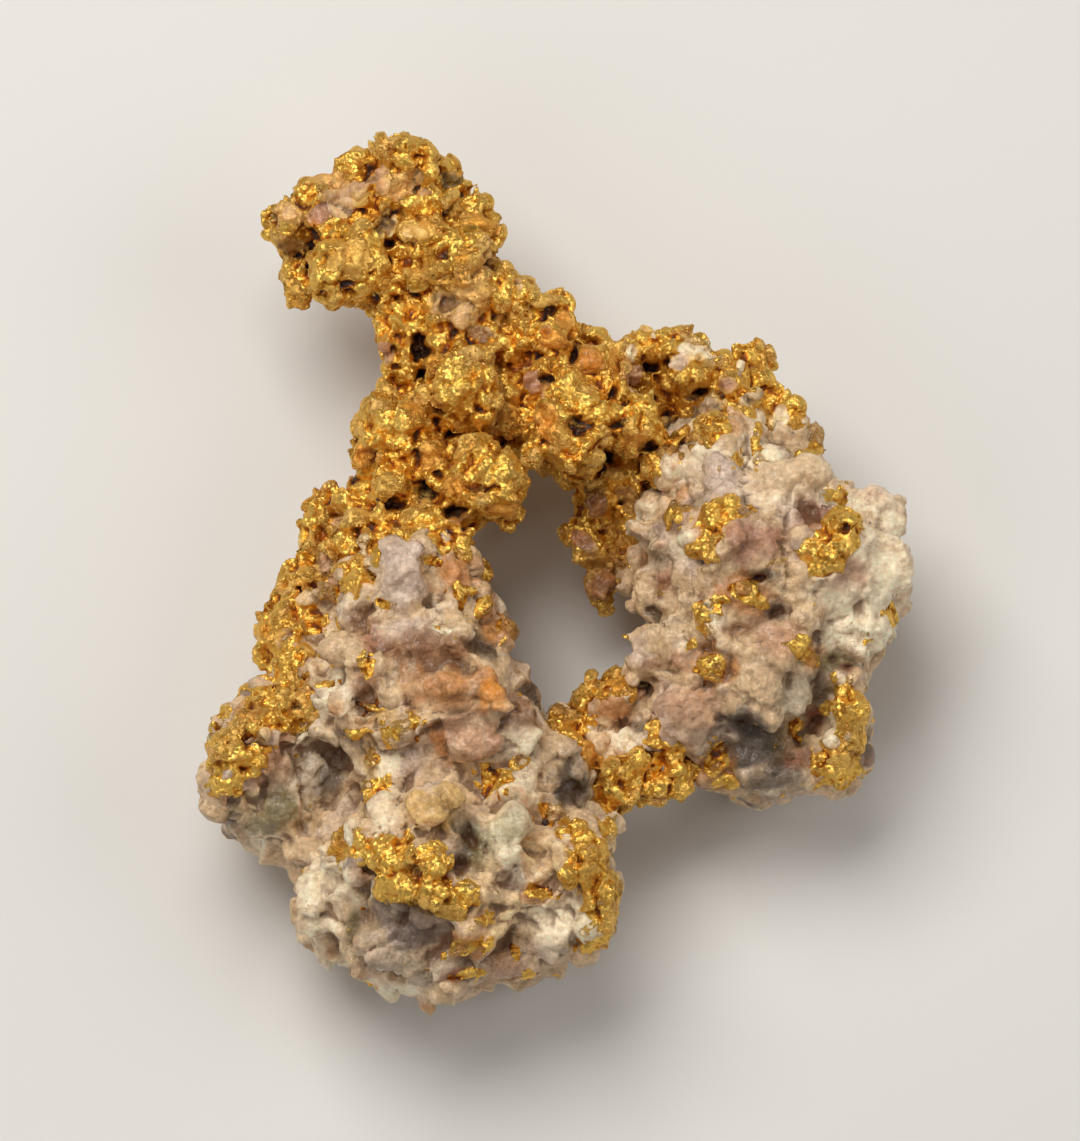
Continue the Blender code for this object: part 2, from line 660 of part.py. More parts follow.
def cut(thing, tools):
    """Takes the tools' space away from the thing.

    The dense skins touch themselves in their grooves, where the exact solver leaves nothing of them.
    """
    for tool in tools:
        knife = thing.modifiers.new("Clear_of_" + tool.name, "BOOLEAN")
        knife.operation = "DIFFERENCE"
        knife.solver = "MANIFOLD"
        knife.object = tool
    settle(thing)


def solid(name, lobes, kind, faces, pits=(), tools=()):
    """A body of the nugget: its lobes fused, pits carved, neighbours cleared and faces thinned."""
    thing = balls(name, lobes)
    fuse(thing, kind)
    carvers = []
    if pits:
        carver = balls("pits_" + name, perched(pits, lobes, PIT_DEPTH))
        fuse(carver, kind)
        carvers = [cutter(carver)]
    cut(thing, carvers + list(tools))
    even_skin(thing, kind)
    facet(thing, faces)
    cut(thing, [bpy.data.objects[TABLE_NAME]])
    thing.data.materials.clear()
    thing.data.materials.append(material(name, kind.look))
    thing.data.shade_flat()
    return thing


def room_for(name, lobes, kind, faces):
    """A cutter: the same body swollen by the gap."""
    tool = balls("room_" + name, lobes, GAP)
    fuse(tool, kind)
    facet(tool, faces)
    return cutter(tool)


def table_block():
    """The block below the table's surface that levels the feet."""
    bm = bmesh.new()
    bmesh.ops.create_cube(bm, size=TABLE * MM)
    bmesh.ops.translate(bm, vec=(0, 0, -TABLE * MM / 2), verts=bm.verts)
    return cutter(new_object(TABLE_NAME, bm))


def clear_scene():
    for thing in list(bpy.data.objects):
        bpy.data.objects.remove(thing, do_unlink=True)


def build():
    clear_scene()
    table_block()

    left = read_lobes(QUARTZ_LEFT_LOBES)
    left += perched(QUARTZ_LEFT_LUMPS, left) + knobs_behind(left, 70, 0.7, 1.5, 11)
    right = read_lobes(QUARTZ_RIGHT_LOBES)
    right += perched(QUARTZ_RIGHT_LUMPS, right) + knobs_behind(right, 60, 0.7, 1.5, 12)
    link = read_lobes(LINK_QUARTZ_LOBES)
    head = read_lobes(HEAD_LOBES)
    head += perched(HEAD_LUMPS, head) + knobs_behind(head, 40, 0.5, 0.9, 13)
    left_arm = read_lobes(LEFT_ARM_LOBES)
    left_arm += perched(LEFT_ARM_LUMPS, left_arm) + knobs_behind(left_arm[:17], 30, 0.5, 0.9, 14)
    right_arm = read_lobes(RIGHT_ARM_LOBES)
    right_arm += perched(RIGHT_ARM_LUMPS, right_arm) + knobs_behind(right_arm, 36, 0.5, 0.9, 15)

    room_left = room_for("quartz_left", left, QUARTZ_KIND, 3000)
    room_right = room_for("quartz_right", right, QUARTZ_KIND, 2600)
    room_link = room_for("quartz_link", link, AMBER_KIND, 500)
    room_left_arm = room_for("gold_left_arm", left_arm, GOLD_KIND, 2400)
    room_right_arm = room_for("gold_right_arm", right_arm, GOLD_KIND, 2400)
    masses = (room_left, room_right)

    solid("quartz_left", left, QUARTZ_KIND, 2000, QUARTZ_LEFT_PITS)
    solid("quartz_right", right, QUARTZ_KIND, 1500, QUARTZ_RIGHT_PITS)
    solid("quartz_link", link, AMBER_KIND, 260, (), masses)
    solid("gold_head", head, GOLD_KIND, 1350, HEAD_PITS, (room_left_arm, room_right_arm))
    solid("gold_left_arm", left_arm, GOLD_KIND, 1450, LEFT_ARM_PITS, (*masses, room_right_arm))
    solid("gold_right_arm", right_arm, GOLD_KIND, 1400, RIGHT_ARM_PITS, masses)
    hanging = read_lobes(HANGING_LOBES)
    solid("gold_hanging", hanging, GOLD_KIND, 300, (), (room_right, room_right_arm))
    looped = read_lobes(LINK_GOLD_LOBES)
    solid("gold_link", looped, GOLD_KIND, 450, (), (*masses, room_link))

    crusts = (
        ("gold_vein_left", VEIN_LEFT_LUMPS, left, 260, (room_left, room_left_arm)),
        ("gold_seam_low", SEAM_LOW_LUMPS, left, 200, (room_left,)),
        ("gold_stripe_low", STRIPE_LOW_LUMPS, left, 236, (room_left,)),
        ("gold_knob_right", KNOB_RIGHT_LUMPS, right, 160, (room_right,)),
        ("gold_rim_right", RIM_RIGHT_LUMPS, right, 130, (room_right,)),
        ("gold_bar_right", BAR_RIGHT_LUMPS, right, 110, (room_right,)),
    )
    for name, rows, ground, faces, tools in crusts:
        solid(name, perched(rows, ground, CRUST), CRUST_KIND, faces, (), tools)


build()
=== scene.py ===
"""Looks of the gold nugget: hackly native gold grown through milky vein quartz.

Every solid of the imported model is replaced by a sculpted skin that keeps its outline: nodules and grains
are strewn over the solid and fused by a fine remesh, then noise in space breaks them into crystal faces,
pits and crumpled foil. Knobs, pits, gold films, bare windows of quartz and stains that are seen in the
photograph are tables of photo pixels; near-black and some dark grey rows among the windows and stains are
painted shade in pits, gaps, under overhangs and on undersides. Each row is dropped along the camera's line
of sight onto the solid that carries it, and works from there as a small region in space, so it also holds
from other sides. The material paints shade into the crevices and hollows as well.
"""

import itertools
import math
from types import SimpleNamespace

import bmesh
import bpy
import numpy as np
from mathutils import Matrix, Vector
from mathutils.bvhtree import BVHTree


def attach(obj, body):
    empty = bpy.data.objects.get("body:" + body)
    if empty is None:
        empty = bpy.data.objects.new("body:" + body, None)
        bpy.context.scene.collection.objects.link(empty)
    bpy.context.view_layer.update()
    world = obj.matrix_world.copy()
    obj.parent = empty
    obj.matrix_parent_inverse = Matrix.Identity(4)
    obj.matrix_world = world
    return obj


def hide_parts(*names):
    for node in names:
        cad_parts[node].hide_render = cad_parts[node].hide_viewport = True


MM = 0.001

# ---- the photograph's view ----
PHOTO_WIDE, PHOTO_TALL = 1080, 1141  # pixels
MM_PER_PIXEL = 0.04  # at the depth of the point that the camera looks at
VIEW_DOWN_DEG = 75
LENS, SENSOR = 500, 36  # millimetres: a long lens, so lines of sight are nearly parallel
CLIP_START, CLIP_END = 0.01, 10  # metres
LOOK_AT = Vector((-0.73, 0.04, 7.0))  # millimetres

DOWN = math.radians(VIEW_DOWN_DEG)
RIGHT = Vector((1, 0, 0))
UPWARD = Vector((0, math.sin(DOWN), math.cos(DOWN)))
TOWARDS = Vector((0, -math.cos(DOWN), math.sin(DOWN)))  # from the nugget to the camera
EYE = LOOK_AT + TOWARDS * (LENS / SENSOR * PHOTO_TALL * MM_PER_PIXEL)  # the photo's height fills the sensor

# ---- how every skin is made ----
# Millimetres:
REGION_DEPTH = 1.3  # how far behind its surface point a small region still reaches
BRIDGE = 0.9  # a neighbour this near is grown into
BRIDGE_WIDTH = 0.2  # how much wider a knob that reaches a neighbour is than the solid is drawn in
ROOT = 0.1  # added to a knob's least depth, so that it reaches the solid that is drawn in
FINE_FROM = 1.1  # a knob with a half width over this is made from the finer ball
FILM_DEPTH = 0.1  # how far gold films stand out of the quartz
DENT_DEPTH = 0.06  # of dents in the foil
CRACK_DEPTH = 0.08  # of the cracks between quartz crystals
POCK_DEPTH = 0.12  # of the small pits in the quartz
FILLED_DEPTHS = 0.03, 0.18  # how far below its surroundings a hole starts to be filled, and is filled

# Rounds of smoothing:
FILL_ROUNDS = 30, 12  # to find the holes to fill, wider ones first
VALLEY_ROUNDS = 25  # to find the valleys between knobs
NEAR_ROUNDS, BROAD_ROUNDS = 5, 40  # to find the crevices and the broad hollows that the material darkens with painted shade

# Shares:
FULL_BLEND = 0.8  # how far each point moves to its neighbours' mean in a round of wide smoothing
KNOB_DEPTH = 0.85  # a knob's depth, of its narrower half width
SEEN_STAND = 0.5  # the most that a knob of the tables stands out, of its narrower half width
SEEN_ROOT, STREWN_ROOT = 0.7, 0.6  # a knob's least depth, of how far the solid is drawn in
SPACING = 1.25  # how far apart small knobs sit, of their mean size
SMALLNESS = 1.7  # the more it is over 1, the more small knobs outnumber the large ones
SEEN_SHRINK = 0.5  # how much smaller strewn knobs are on the side that the tables cover
STRETCHES = 0.8, 1.3  # a strewn knob's half widths, of its size
STANDS = 0.25, 0.75  # how far a strewn knob stands out, of its piece's stand
STAIN_STRENGTH = 0.85


def srgb(red, green, blue):
    """A screen colour, 0 to 255, as the linear colour that shaders take."""
    shares = (channel / 255 for channel in (red, green, blue))
    return tuple(s / 12.92 if s <= 0.04045 else ((s + 0.055) / 1.055) ** 2.4 for s in shares)


# ---- colours ----
BEIGE = srgb(212, 182, 144)
WHITE = srgb(248, 228, 198)
CREAM = srgb(242, 208, 160)
VIOLET_WHITE = srgb(208, 186, 170)
VIOLET_GREY = srgb(116, 97, 90)
PALE_GREY = srgb(180, 162, 138)
DARK_GREY = srgb(86, 72, 60)
PINK = srgb(190, 148, 118)
ROSE = srgb(170, 120, 96)
AMBER = srgb(188, 126, 68)
ORANGE = srgb(226, 150, 56)
STRAW = srgb(220, 180, 112)
BROWN = srgb(140, 94, 58)
RED_BROWN = srgb(124, 62, 38)
MOSS = srgb(112, 100, 62)
GREEN_WHITE = srgb(198, 188, 156)
# Painted shade: near black, set in pits, gaps and on undersides
SHADE_BLACK = srgb(46, 38, 32)
# The brown of the cracks, and of dirt and painted shade in the hollows
DIRT_AND_SHADE = srgb(116, 80, 50)

# Gold: painted light on the knobs, then painted shade into the crevices: orange for light thrown between the
# knobs, with some brown oxide, then near black
GOLD_BRIGHT = srgb(250, 210, 112)
GOLD_MID = srgb(236, 178, 70)
GOLD_DEEP = srgb(166, 92, 26)
GOLD_SHADE = srgb(44, 20, 8)
STRAW_GOLD = srgb(240, 194, 104)
ORANGE_GOLD = srgb(230, 160, 52)
PEACH = srgb(232, 186, 122)

# ---- what the photograph shows, in photo pixels ----
# A knob or film: (x, y, half width, half height[, turn in degrees]). A window or stain:
# (x, y, half width, half height, turn, colour). A pit ends with its depth in millimetres instead. Window and
# stain rows in near black, and some in dark grey, are painted shade in pits, gaps, under overhangs and on
# undersides.

HEAD_KNOBS = (
    (405, 150, 34, 18, -15), (424, 168, 16, 18), (384, 150, 14, 14), (352, 160, 20, 12, 5),
    (373, 160, 20, 15), (346, 262, 38, 30), (456, 250, 46, 22, 15), (352, 170, 22, 14, -10),
    (307, 187, 16, 13, 20), (277, 200, 11, 12), (288, 214, 18, 16), (280, 233, 15, 11),
    (296, 283, 11, 13), (338, 252, 24, 24), (362, 240, 22, 20), (330, 278, 20, 18),
    (360, 285, 20, 14), (376, 262, 16, 16), (410, 206, 22, 18), (425, 232, 30, 14, -10),
    (436, 196, 14, 12), (467, 172, 12, 14), (476, 204, 20, 16), (478, 226, 22, 12, -10),
    (430, 275, 34, 11, 8), (462, 262, 34, 14, 20), (484, 252, 16, 12, 20), (506, 276, 12, 20, 10),
    (499, 300, 14, 18), (520, 285, 8, 12), (400, 315, 18, 20), (390, 345, 15, 18),
    (442, 343, 17, 16), (475, 347, 18, 12), (504, 343, 15, 13), (518, 325, 8, 10),
    (404, 372, 12, 10),
)
HEAD_PITS = (
    (405, 147, 11, 4, -25, 0.2), (430, 150, 8, 4, 30, 0.25), (422, 167, 9, 5, -20, 0.3),
    (388, 222, 13, 17, -15, 0.55), (390, 243, 7, 6, 0, 0.6), (396, 292, 6, 6, 0, 0.6),
    (308, 262, 6, 22, 0, 0.7), (292, 254, 18, 5, -10, 0.4), (337, 283, 9, 5, 10, 0.2),
    (420, 352, 12, 22, 0, 0.9), (425, 378, 12, 12, 0, 0.9), (461, 196, 4, 12, -10, 0.4),
    (412, 292, 8, 4, -10, 0.3),
)
HEAD_WINDOWS_AND_SHADE = (
    (342, 202, 28, 18, 10, BEIGE), (350, 188, 22, 10, 15, PINK), (371, 176, 18, 11, 30, PINK),
    (381, 187, 9, 10, 0, ROSE), (318, 214, 15, 11, -20, ROSE), (289, 212, 12, 11, 0, PINK),
    (418, 176, 8, 8, 0, BROWN), (452, 179, 13, 9, 10, MOSS), (392, 226, 5, 15, -20, PALE_GREY),
    (382, 226, 5, 14, -10, DARK_GREY), (415, 232, 16, 8, -10, BEIGE), (452, 309, 34, 17, -28, BROWN),
    # (440, 302) in dark grey: painted shadow line under the overhanging gold sheet.
    (440, 302, 14, 7, -30, DARK_GREY), (482, 333, 18, 8, -20, BROWN), (520, 288, 6, 12, 0, PINK),
    (386, 352, 12, 12, 0, ROSE), (426, 192, 8, 5, 0, RED_BROWN),
)
HEAD_STAINS = (
    (478, 225, 22, 12, -8, ORANGE_GOLD), (290, 248, 20, 8, 0, BROWN), (330, 178, 34, 16, -20, PEACH),
    (400, 186, 22, 20, 20, PEACH), (288, 214, 18, 16, 0, PEACH), (352, 258, 28, 24, 0, STRAW_GOLD),
    (418, 232, 34, 14, -8, STRAW_GOLD), (470, 300, 34, 26, 20, PEACH), (425, 272, 32, 9, 8, STRAW_GOLD),
)

LEFT_ARM_KNOBS = (
    (460, 380, 28, 30), (472, 362, 20, 20, 10), (487, 378, 15, 17), (455, 402, 24, 14),
    (508, 408, 20, 10, 15), (488, 400, 16, 12), (403, 420, 32, 22, 5), (377, 410, 19, 20),
    (400, 443, 24, 14), (364, 455, 14, 15), (428, 456, 15, 15), (386, 396, 14, 12, 30),
    (474, 452, 26, 20, -10), (492, 474, 30, 26), (508, 478, 18, 24), (468, 480, 22, 24),
    (480, 500, 15, 12), (452, 490, 13, 15), (500, 510, 18, 12, 10), (530, 454, 7, 4, -20),
    (390, 484, 22, 20), (404, 478, 10, 18, 30), (434, 512, 16, 13), (410, 514, 15, 12),
    (382, 514, 14, 12), (360, 517, 13, 12), (345, 500, 14, 13), (330, 492, 15, 14),
    (318, 515, 12, 16), (417, 538, 16, 10, -10), (442, 530, 10, 8), (462, 538, 12, 11),
    (370, 540, 14, 12), (335, 535, 12, 12), (310, 545, 12, 14), (333, 556, 14, 14),
    (300, 580, 14, 12), (285, 612, 22, 12, 10), (300, 628, 14, 10), (274, 640, 10, 16),
    (290, 662, 20, 9),
)
LEFT_ARM_PITS = (
    (453, 434, 8, 7, 0, 0.8), (427, 492, 15, 13, 20, 1.0), (455, 514, 16, 10, 10, 0.9),
    (440, 475, 8, 12, 10, 0.6), (480, 408, 12, 7, 10, 0.35), (436, 400, 6, 18, 10, 0.4),
    (414, 398, 14, 6, -20, 0.4), (437, 425, 7, 12, 20, 0.4), (352, 480, 14, 6, 10, 0.5),
    (396, 505, 12, 5, 0, 0.4), (290, 640, 10, 10, 0, 0.35), (334, 570, 8, 6, 0, 0.3),
)
LEFT_ARM_WINDOWS = (
    (458, 518, 13, 9, 0, BROWN), (345, 525, 16, 9, -20, PINK), (322, 562, 10, 12, 0, PINK),
    (292, 640, 14, 13, 0, RED_BROWN), (312, 600, 16, 8, 10, BEIGE),
)
LEFT_ARM_STAINS = (
    (428, 458, 16, 16, 0, ORANGE), (364, 455, 12, 12, 0, ORANGE), (452, 490, 12, 14, 0, ORANGE),
    (500, 512, 20, 10, 10, ORANGE), (470, 360, 24, 22, 0, STRAW), (377, 408, 16, 16, 0, STRAW),
)

RIGHT_ARM_KNOBS = (
    (556, 302, 24, 22), (550, 285, 16, 10, 10), (552, 336, 22, 20), (568, 325, 13, 16),
    (533, 383, 18, 18), (517, 358, 12, 10), (596, 340, 14, 14, 20), (592, 360, 18, 16),
    (606, 350, 7, 22, -15), (620, 388, 9, 26, -12), (566, 384, 22, 16), (583, 402, 26, 20, -20),
    (552, 408, 18, 22), (600, 425, 16, 24, 10), (560, 438, 18, 16), (583, 452, 20, 12),
    (583, 467, 13, 9), (577, 437, 6, 5), (640, 410, 18, 16), (638, 430, 20, 16),
    (645, 345, 24, 16, 5), (625, 352, 13, 18), (678, 334, 24, 10), (668, 350, 8, 14),
    (693, 352, 24, 18, -15), (668, 384, 16, 12, 20), (682, 372, 14, 12), (702, 366, 15, 15),
    (722, 362, 13, 14), (756, 352, 20, 18), (762, 376, 15, 16), (738, 350, 9, 11),
    (733, 383, 15, 14), (720, 405, 18, 12, 10), (776, 400, 15, 14), (795, 412, 14, 16),
    (800, 436, 12, 16, 10), (713, 426, 22, 13, -5), (727, 444, 11, 10), (703, 456, 13, 12),
    (675, 462, 16, 12, 20),
)
RIGHT_ARM_PITS = (
    (578, 426, 17, 13, 10, 0.75), (526, 432, 12, 12, 0, 0.8), (575, 352, 6, 20, -20, 0.5),
    (612, 400, 6, 22, -12, 0.5), (620, 368, 6, 10, 0, 0.4), (652, 370, 12, 8, 10, 0.7),
    (697, 391, 14, 5, 5, 0.6), (674, 428, 20, 17, 15, 1.1), (690, 442, 16, 10, 20, 0.9),
    (650, 450, 10, 12, 0, 0.8), (716, 345, 6, 8, 0, 0.3), (606, 458, 10, 8, 0, 0.7),
)
RIGHT_ARM_WINDOWS_AND_SHADE = (
    (533, 382, 14, 14, 0, ROSE), (545, 330, 8, 8, 0, BROWN), (589, 360, 14, 12, 0, BROWN),
    (695, 350, 22, 14, -15, WHITE), (680, 362, 12, 8, 30, VIOLET_WHITE), (634, 380, 8, 16, -15, PINK),
    (632, 352, 7, 9, 0, WHITE), (653, 337, 5, 4, 0, WHITE), (737, 346, 6, 8, 0, WHITE),
    (730, 384, 14, 9, 10, ROSE), (712, 404, 18, 9, 10, PALE_GREY), (672, 428, 16, 15, 0, SHADE_BLACK),
    (780, 418, 10, 14, 0, WHITE), (750, 398, 12, 8, 10, PALE_GREY), (703, 457, 10, 9, 0, AMBER),
    (693, 398, 12, 5, 5, DARK_GREY),
)
RIGHT_ARM_STAINS = (
    (553, 340, 18, 14, 0, ORANGE), (563, 322, 12, 12, 0, ORANGE), (590, 362, 18, 14, 0, ORANGE),
    (547, 425, 14, 22, 0, ORANGE), (638, 440, 16, 10, 0, ORANGE), (678, 462, 20, 12, 0, BROWN),
)

HANGING_KNOBS = (
    (620, 455, 14, 12), (633, 480, 14, 22, -10), (640, 508, 9, 10), (607, 492, 13, 12),
    (572, 490, 10, 12), (562, 527, 11, 10), (590, 545, 30, 14, -38), (600, 580, 18, 16),
)
HANGING_WINDOWS = (
    (582, 540, 16, 10, -38, ROSE), (600, 585, 20, 16, 0, BROWN), (562, 505, 14, 12, 0, BROWN),
)
HANGING_STAINS = (
    (600, 575, 26, 30, 0, BROWN), (572, 490, 14, 16, 0, BROWN), (660, 500, 20, 24, 0, BROWN),
)

LINK_KNOBS = (
    (615, 672, 22, 10, 15), (592, 684, 12, 12), (632, 682, 9, 12), (612, 698, 12, 9),
    (585, 705, 10, 9), (562, 716, 14, 10, 20), (564, 738, 14, 12), (585, 732, 12, 10, -10),
    (583, 752, 12, 13), (600, 770, 10, 9), (618, 772, 18, 13), (615, 793, 14, 9),
    (632, 803, 9, 8), (645, 785, 12, 9), (652, 742, 12, 7, 20), (672, 752, 10, 16),
    (678, 772, 10, 12), (660, 784, 12, 8), (635, 760, 8, 9),
)
LINK_PITS = (
    (607, 688, 5, 4, 0, 0.4), (571, 744, 4, 9, -25, 0.4),
)
LINK_STAINS = (
    (560, 714, 18, 14, 0, BROWN), (590, 748, 12, 18, 0, ORANGE),
)
LINK_QUARTZ_KNOBS = (
    (632, 700, 24, 18, 10), (615, 712, 18, 14), (590, 704, 16, 10), (624, 740, 18, 12, 10),
    (556, 770, 16, 12), (574, 792, 22, 18), (553, 790, 16, 10), (592, 808, 14, 14),
)
LINK_QUARTZ_FILMS = (
    (560, 745, 14, 14), (590, 760, 14, 14), (588, 722, 12, 8),
)
LINK_QUARTZ_STAINS_AND_SHADE = (
    (642, 690, 22, 12, 10, ROSE), (618, 712, 18, 12, 0, AMBER), (585, 702, 20, 12, 0, BROWN),
    (645, 725, 17, 10, 5, SHADE_BLACK), (624, 741, 18, 11, 0, WHITE), (572, 790, 34, 30, 0, SHADE_BLACK),
    (553, 788, 16, 9, 0, PINK), (660, 755, 16, 12, 0, SHADE_BLACK),
)

LEFT_KNOBS = (
    (398, 572, 26, 34), (404, 600, 16, 14), (457, 573, 22, 20), (440, 606, 22, 14),
    (358, 620, 22, 16), (340, 648, 26, 18), (302, 655, 20, 16), (425, 648, 40, 18),
    (462, 662, 26, 16, 10), (453, 688, 42, 20, 5), (492, 700, 20, 16), (518, 712, 20, 18),
    (536, 694, 16, 18, 40), (470, 740, 36, 24, -15), (524, 742, 18, 12), (300, 705, 30, 16),
    (350, 700, 24, 16), (377, 712, 14, 12), (400, 730, 18, 18), (388, 772, 14, 36, 5),
    (306, 770, 22, 42, -20), (336, 778, 18, 26, -10), (252, 758, 26, 30), (277, 812, 34, 24, 10),
    (230, 800, 20, 24), (437, 805, 36, 26), (488, 782, 18, 18), (507, 828, 26, 28),
    (566, 856, 36, 34), (556, 826, 22, 14), (340, 848, 26, 14), (316, 905, 24, 38),
    (356, 915, 30, 34), (410, 912, 36, 26), (388, 946, 42, 22), (440, 966, 46, 16),
    (490, 912, 40, 26), (540, 900, 26, 22), (556, 932, 32, 20), (500, 962, 40, 18),
    (470, 940, 24, 16),
)
LEFT_PITS = (
    (493, 652, 20, 7, -48, 0.45), (470, 838, 13, 20, 0, 0.7), (458, 868, 13, 11, 0, 0.6),
    (486, 850, 8, 12, 0, 0.4), (408, 701, 4, 14, 40, 0.35), (448, 713, 28, 3, 2, 0.25),
    (430, 607, 5, 6, 0, 0.4), (406, 805, 4, 4, 0, 0.3), (405, 828, 6, 4, 40, 0.35),
    (418, 831, 4, 7, -30, 0.35), (375, 724, 4, 12, 0, 0.3), (355, 702, 5, 5, 0, 0.3),
    (333, 862, 24, 3, 5, 0.35), (340, 750, 9, 12, 0, 0.25), (513, 865, 6, 5, 0, 0.3),
    (380, 600, 6, 4, 0, 0.2), (452, 978, 18, 4, 10, 0.3), (541, 774, 6, 8, 0, 0.3),
)
LEFT_FILMS = (
    (333, 555, 20, 18), (366, 572, 12, 36), (343, 592, 34, 9), (381, 603, 13, 6, -15),
    (290, 585, 16, 9), (287, 612, 28, 14), (303, 628, 13, 10), (273, 648, 12, 16),
    (290, 662, 20, 9), (367, 660, 9, 17, -10), (277, 693, 32, 14, -5), (302, 711, 18, 11, -20),
    (324, 684, 22, 5), (229, 714, 13, 13), (218, 744, 9, 27), (212, 778, 8, 13),
    (265, 742, 4, 6), (372, 706, 15, 8), (401, 732, 19, 19), (357, 735, 14, 5),
    (372, 758, 7, 14), (374, 790, 13, 14), (497, 780, 16, 18), (516, 764, 14, 7, 20),
    (341, 837, 12, 8), (370, 843, 24, 11, -10), (403, 856, 32, 20, -10), (431, 850, 13, 10),
    (400, 878, 20, 11, -20), (437, 890, 15, 8), (466, 890, 14, 8, 15), (549, 810, 20, 8, -20),
    (568, 828, 26, 9, -25), (607, 840, 11, 26), (597, 864, 11, 14), (601, 897, 12, 13),
    (577, 877, 8, 7), (540, 893, 13, 9), (593, 927, 24, 19), (479, 921, 13, 7, 20),
    (466, 947, 18, 9, 20), (517, 953, 6, 8), (468, 974, 14, 6), (527, 972, 10, 5),
    (458, 543, 11, 10), (431, 560, 14, 6, -20), (487, 573, 10, 20), (504, 628, 13, 17),
    (481, 608, 8, 14, -20), (462, 592, 10, 10),
)
LEFT_STAINS_AND_SHADE = (
    (325, 560, 26, 24, 0, PINK), (398, 576, 28, 36, 0, VIOLET_WHITE), (457, 572, 24, 22, 0, AMBER),
    (357, 620, 20, 14, 0, BROWN), (340, 645, 28, 20, 0, BEIGE), (372, 640, 16, 10, -30, ROSE),
    (292, 640, 14, 13, 0, RED_BROWN), (410, 626, 26, 12, 0, VIOLET_WHITE), (423, 648, 40, 17, 0, BROWN),
    (450, 688, 44, 22, 5, AMBER), (490, 697, 18, 16, 0, ORANGE), (518, 712, 22, 18, 0, BROWN),
    (536, 694, 18, 20, 0, DARK_GREY), (488, 645, 22, 9, -45, SHADE_BLACK), (470, 738, 36, 24, -15, PINK),
    (440, 745, 8, 18, 30, AMBER), (523, 742, 18, 11, 0, WHITE), (505, 765, 12, 10, 0, RED_BROWN),
    (365, 690, 16, 16, 0, BROWN), (377, 714, 16, 12, 0, STRAW), (372, 765, 10, 24, 0, STRAW),
    (306, 768, 24, 40, -20, PALE_GREY), (334, 772, 14, 26, -10, DARK_GREY),
    (340, 750, 11, 13, 0, VIOLET_GREY), (388, 780, 13, 40, 5, WHITE), (262, 752, 38, 30, 0, PINK),
    # (228, 806) in dark grey: partly the quartz's own grey, partly painted shade where the lobe's bottom
    # turns from the light.
    (277, 814, 34, 22, 10, MOSS), (228, 806, 16, 24, 0, DARK_GREY), (438, 805, 34, 26, 0, STRAW),
    (470, 840, 15, 26, 0, SHADE_BLACK), (458, 868, 15, 12, 0, DARK_GREY), (482, 850, 12, 20, 0, MOSS),
    (507, 826, 26, 28, 0, GREEN_WHITE), (562, 862, 38, 36, 0, CREAM), (570, 790, 32, 26, -30, SHADE_BLACK),
    (316, 900, 26, 44, 0, WHITE), (367, 872, 12, 20, 0, BROWN), (352, 930, 8, 26, 0, MOSS),
    # Greys along the bottom: partly the quartz's own grey and violet, partly painted shade on faces turned
    # down.
    (388, 940, 38, 18, 0, PALE_GREY), (408, 920, 46, 36, 0, VIOLET_GREY), (425, 972, 50, 14, 0, PALE_GREY),
    (492, 912, 48, 34, 0, CREAM), (482, 917, 14, 9, 0, BROWN), (466, 944, 24, 12, 0, AMBER),
    (455, 976, 20, 6, 8, RED_BROWN), (505, 968, 24, 14, 0, PINK), (556, 930, 30, 20, 0, WHITE),
    (540, 893, 18, 14, 0, AMBER), (490, 575, 16, 26, 0, RED_BROWN), (500, 628, 20, 24, 0, AMBER),
)

VEIN_WINDOWS = (
    (266, 758, 26, 26, 0, PINK), (274, 739, 20, 9, 0, VIOLET_WHITE), (250, 790, 14, 12, 0, PINK),
)

RIGHT_KNOBS = (
    (724, 480, 19, 36, 25), (790, 476, 48, 24, 8), (770, 458, 26, 16, 10), (752, 540, 32, 27),
    (622, 512, 20, 12, -30), (644, 530, 18, 11, -20), (664, 545, 20, 15), (687, 522, 15, 14),
    (686, 548, 18, 16), (872, 522, 38, 40), (893, 566, 22, 30), (846, 582, 38, 34),
    (860, 628, 34, 34), (806, 618, 19, 17), (797, 588, 26, 16), (776, 642, 24, 22),
    (722, 630, 16, 25), (758, 682, 34, 26), (794, 694, 18, 24), (820, 682, 18, 14),
    (690, 576, 18, 16), (714, 582, 18, 16), (672, 600, 20, 18), (652, 590, 18, 14),
    (652, 640, 26, 20), (640, 660, 16, 12), (682, 656, 16, 16), (690, 710, 36, 34),
    (770, 716, 17, 15), (758, 748, 40, 32), (775, 774, 42, 22), (820, 742, 13, 12),
    (802, 757, 16, 12), (846, 694, 12, 20), (864, 735, 14, 18), (746, 591, 15, 13),
    (711, 668, 17, 13), (716, 770, 24, 18), (740, 430, 20, 20), (760, 415, 20, 14),
    (650, 574, 16, 12), (832, 548, 22, 18), (745, 650, 16, 14),
)
RIGHT_PITS = (
    (813, 513, 22, 17, 0, 0.42), (758, 576, 20, 7, 5, 0.48), (775, 612, 18, 9, 10, 0.36),
    (652, 610, 12, 7, 0, 0.36), (708, 650, 11, 6, 0, 0.3), (846, 670, 7, 7, 0, 0.36),
    (744, 722, 14, 10, -10, 0.42), (728, 732, 7, 5, 0, 0.24), (764, 730, 10, 6, 0, 0.24),
    (815, 718, 8, 10, 0, 0.3), (790, 575, 14, 5, 0, 0.24), (740, 628, 7, 4, 0, 0.18),
    (700, 600, 5, 8, 20, 0.21), (834, 660, 14, 7, 0, 0.24), (690, 742, 5, 22, 0, 0.3),
    (668, 626, 8, 5, -20, 0.21), (706, 497, 5, 20, 20, 0.24), (760, 508, 30, 4, 5, 0.18),
    (668, 672, 20, 4, -10, 0.21),
)
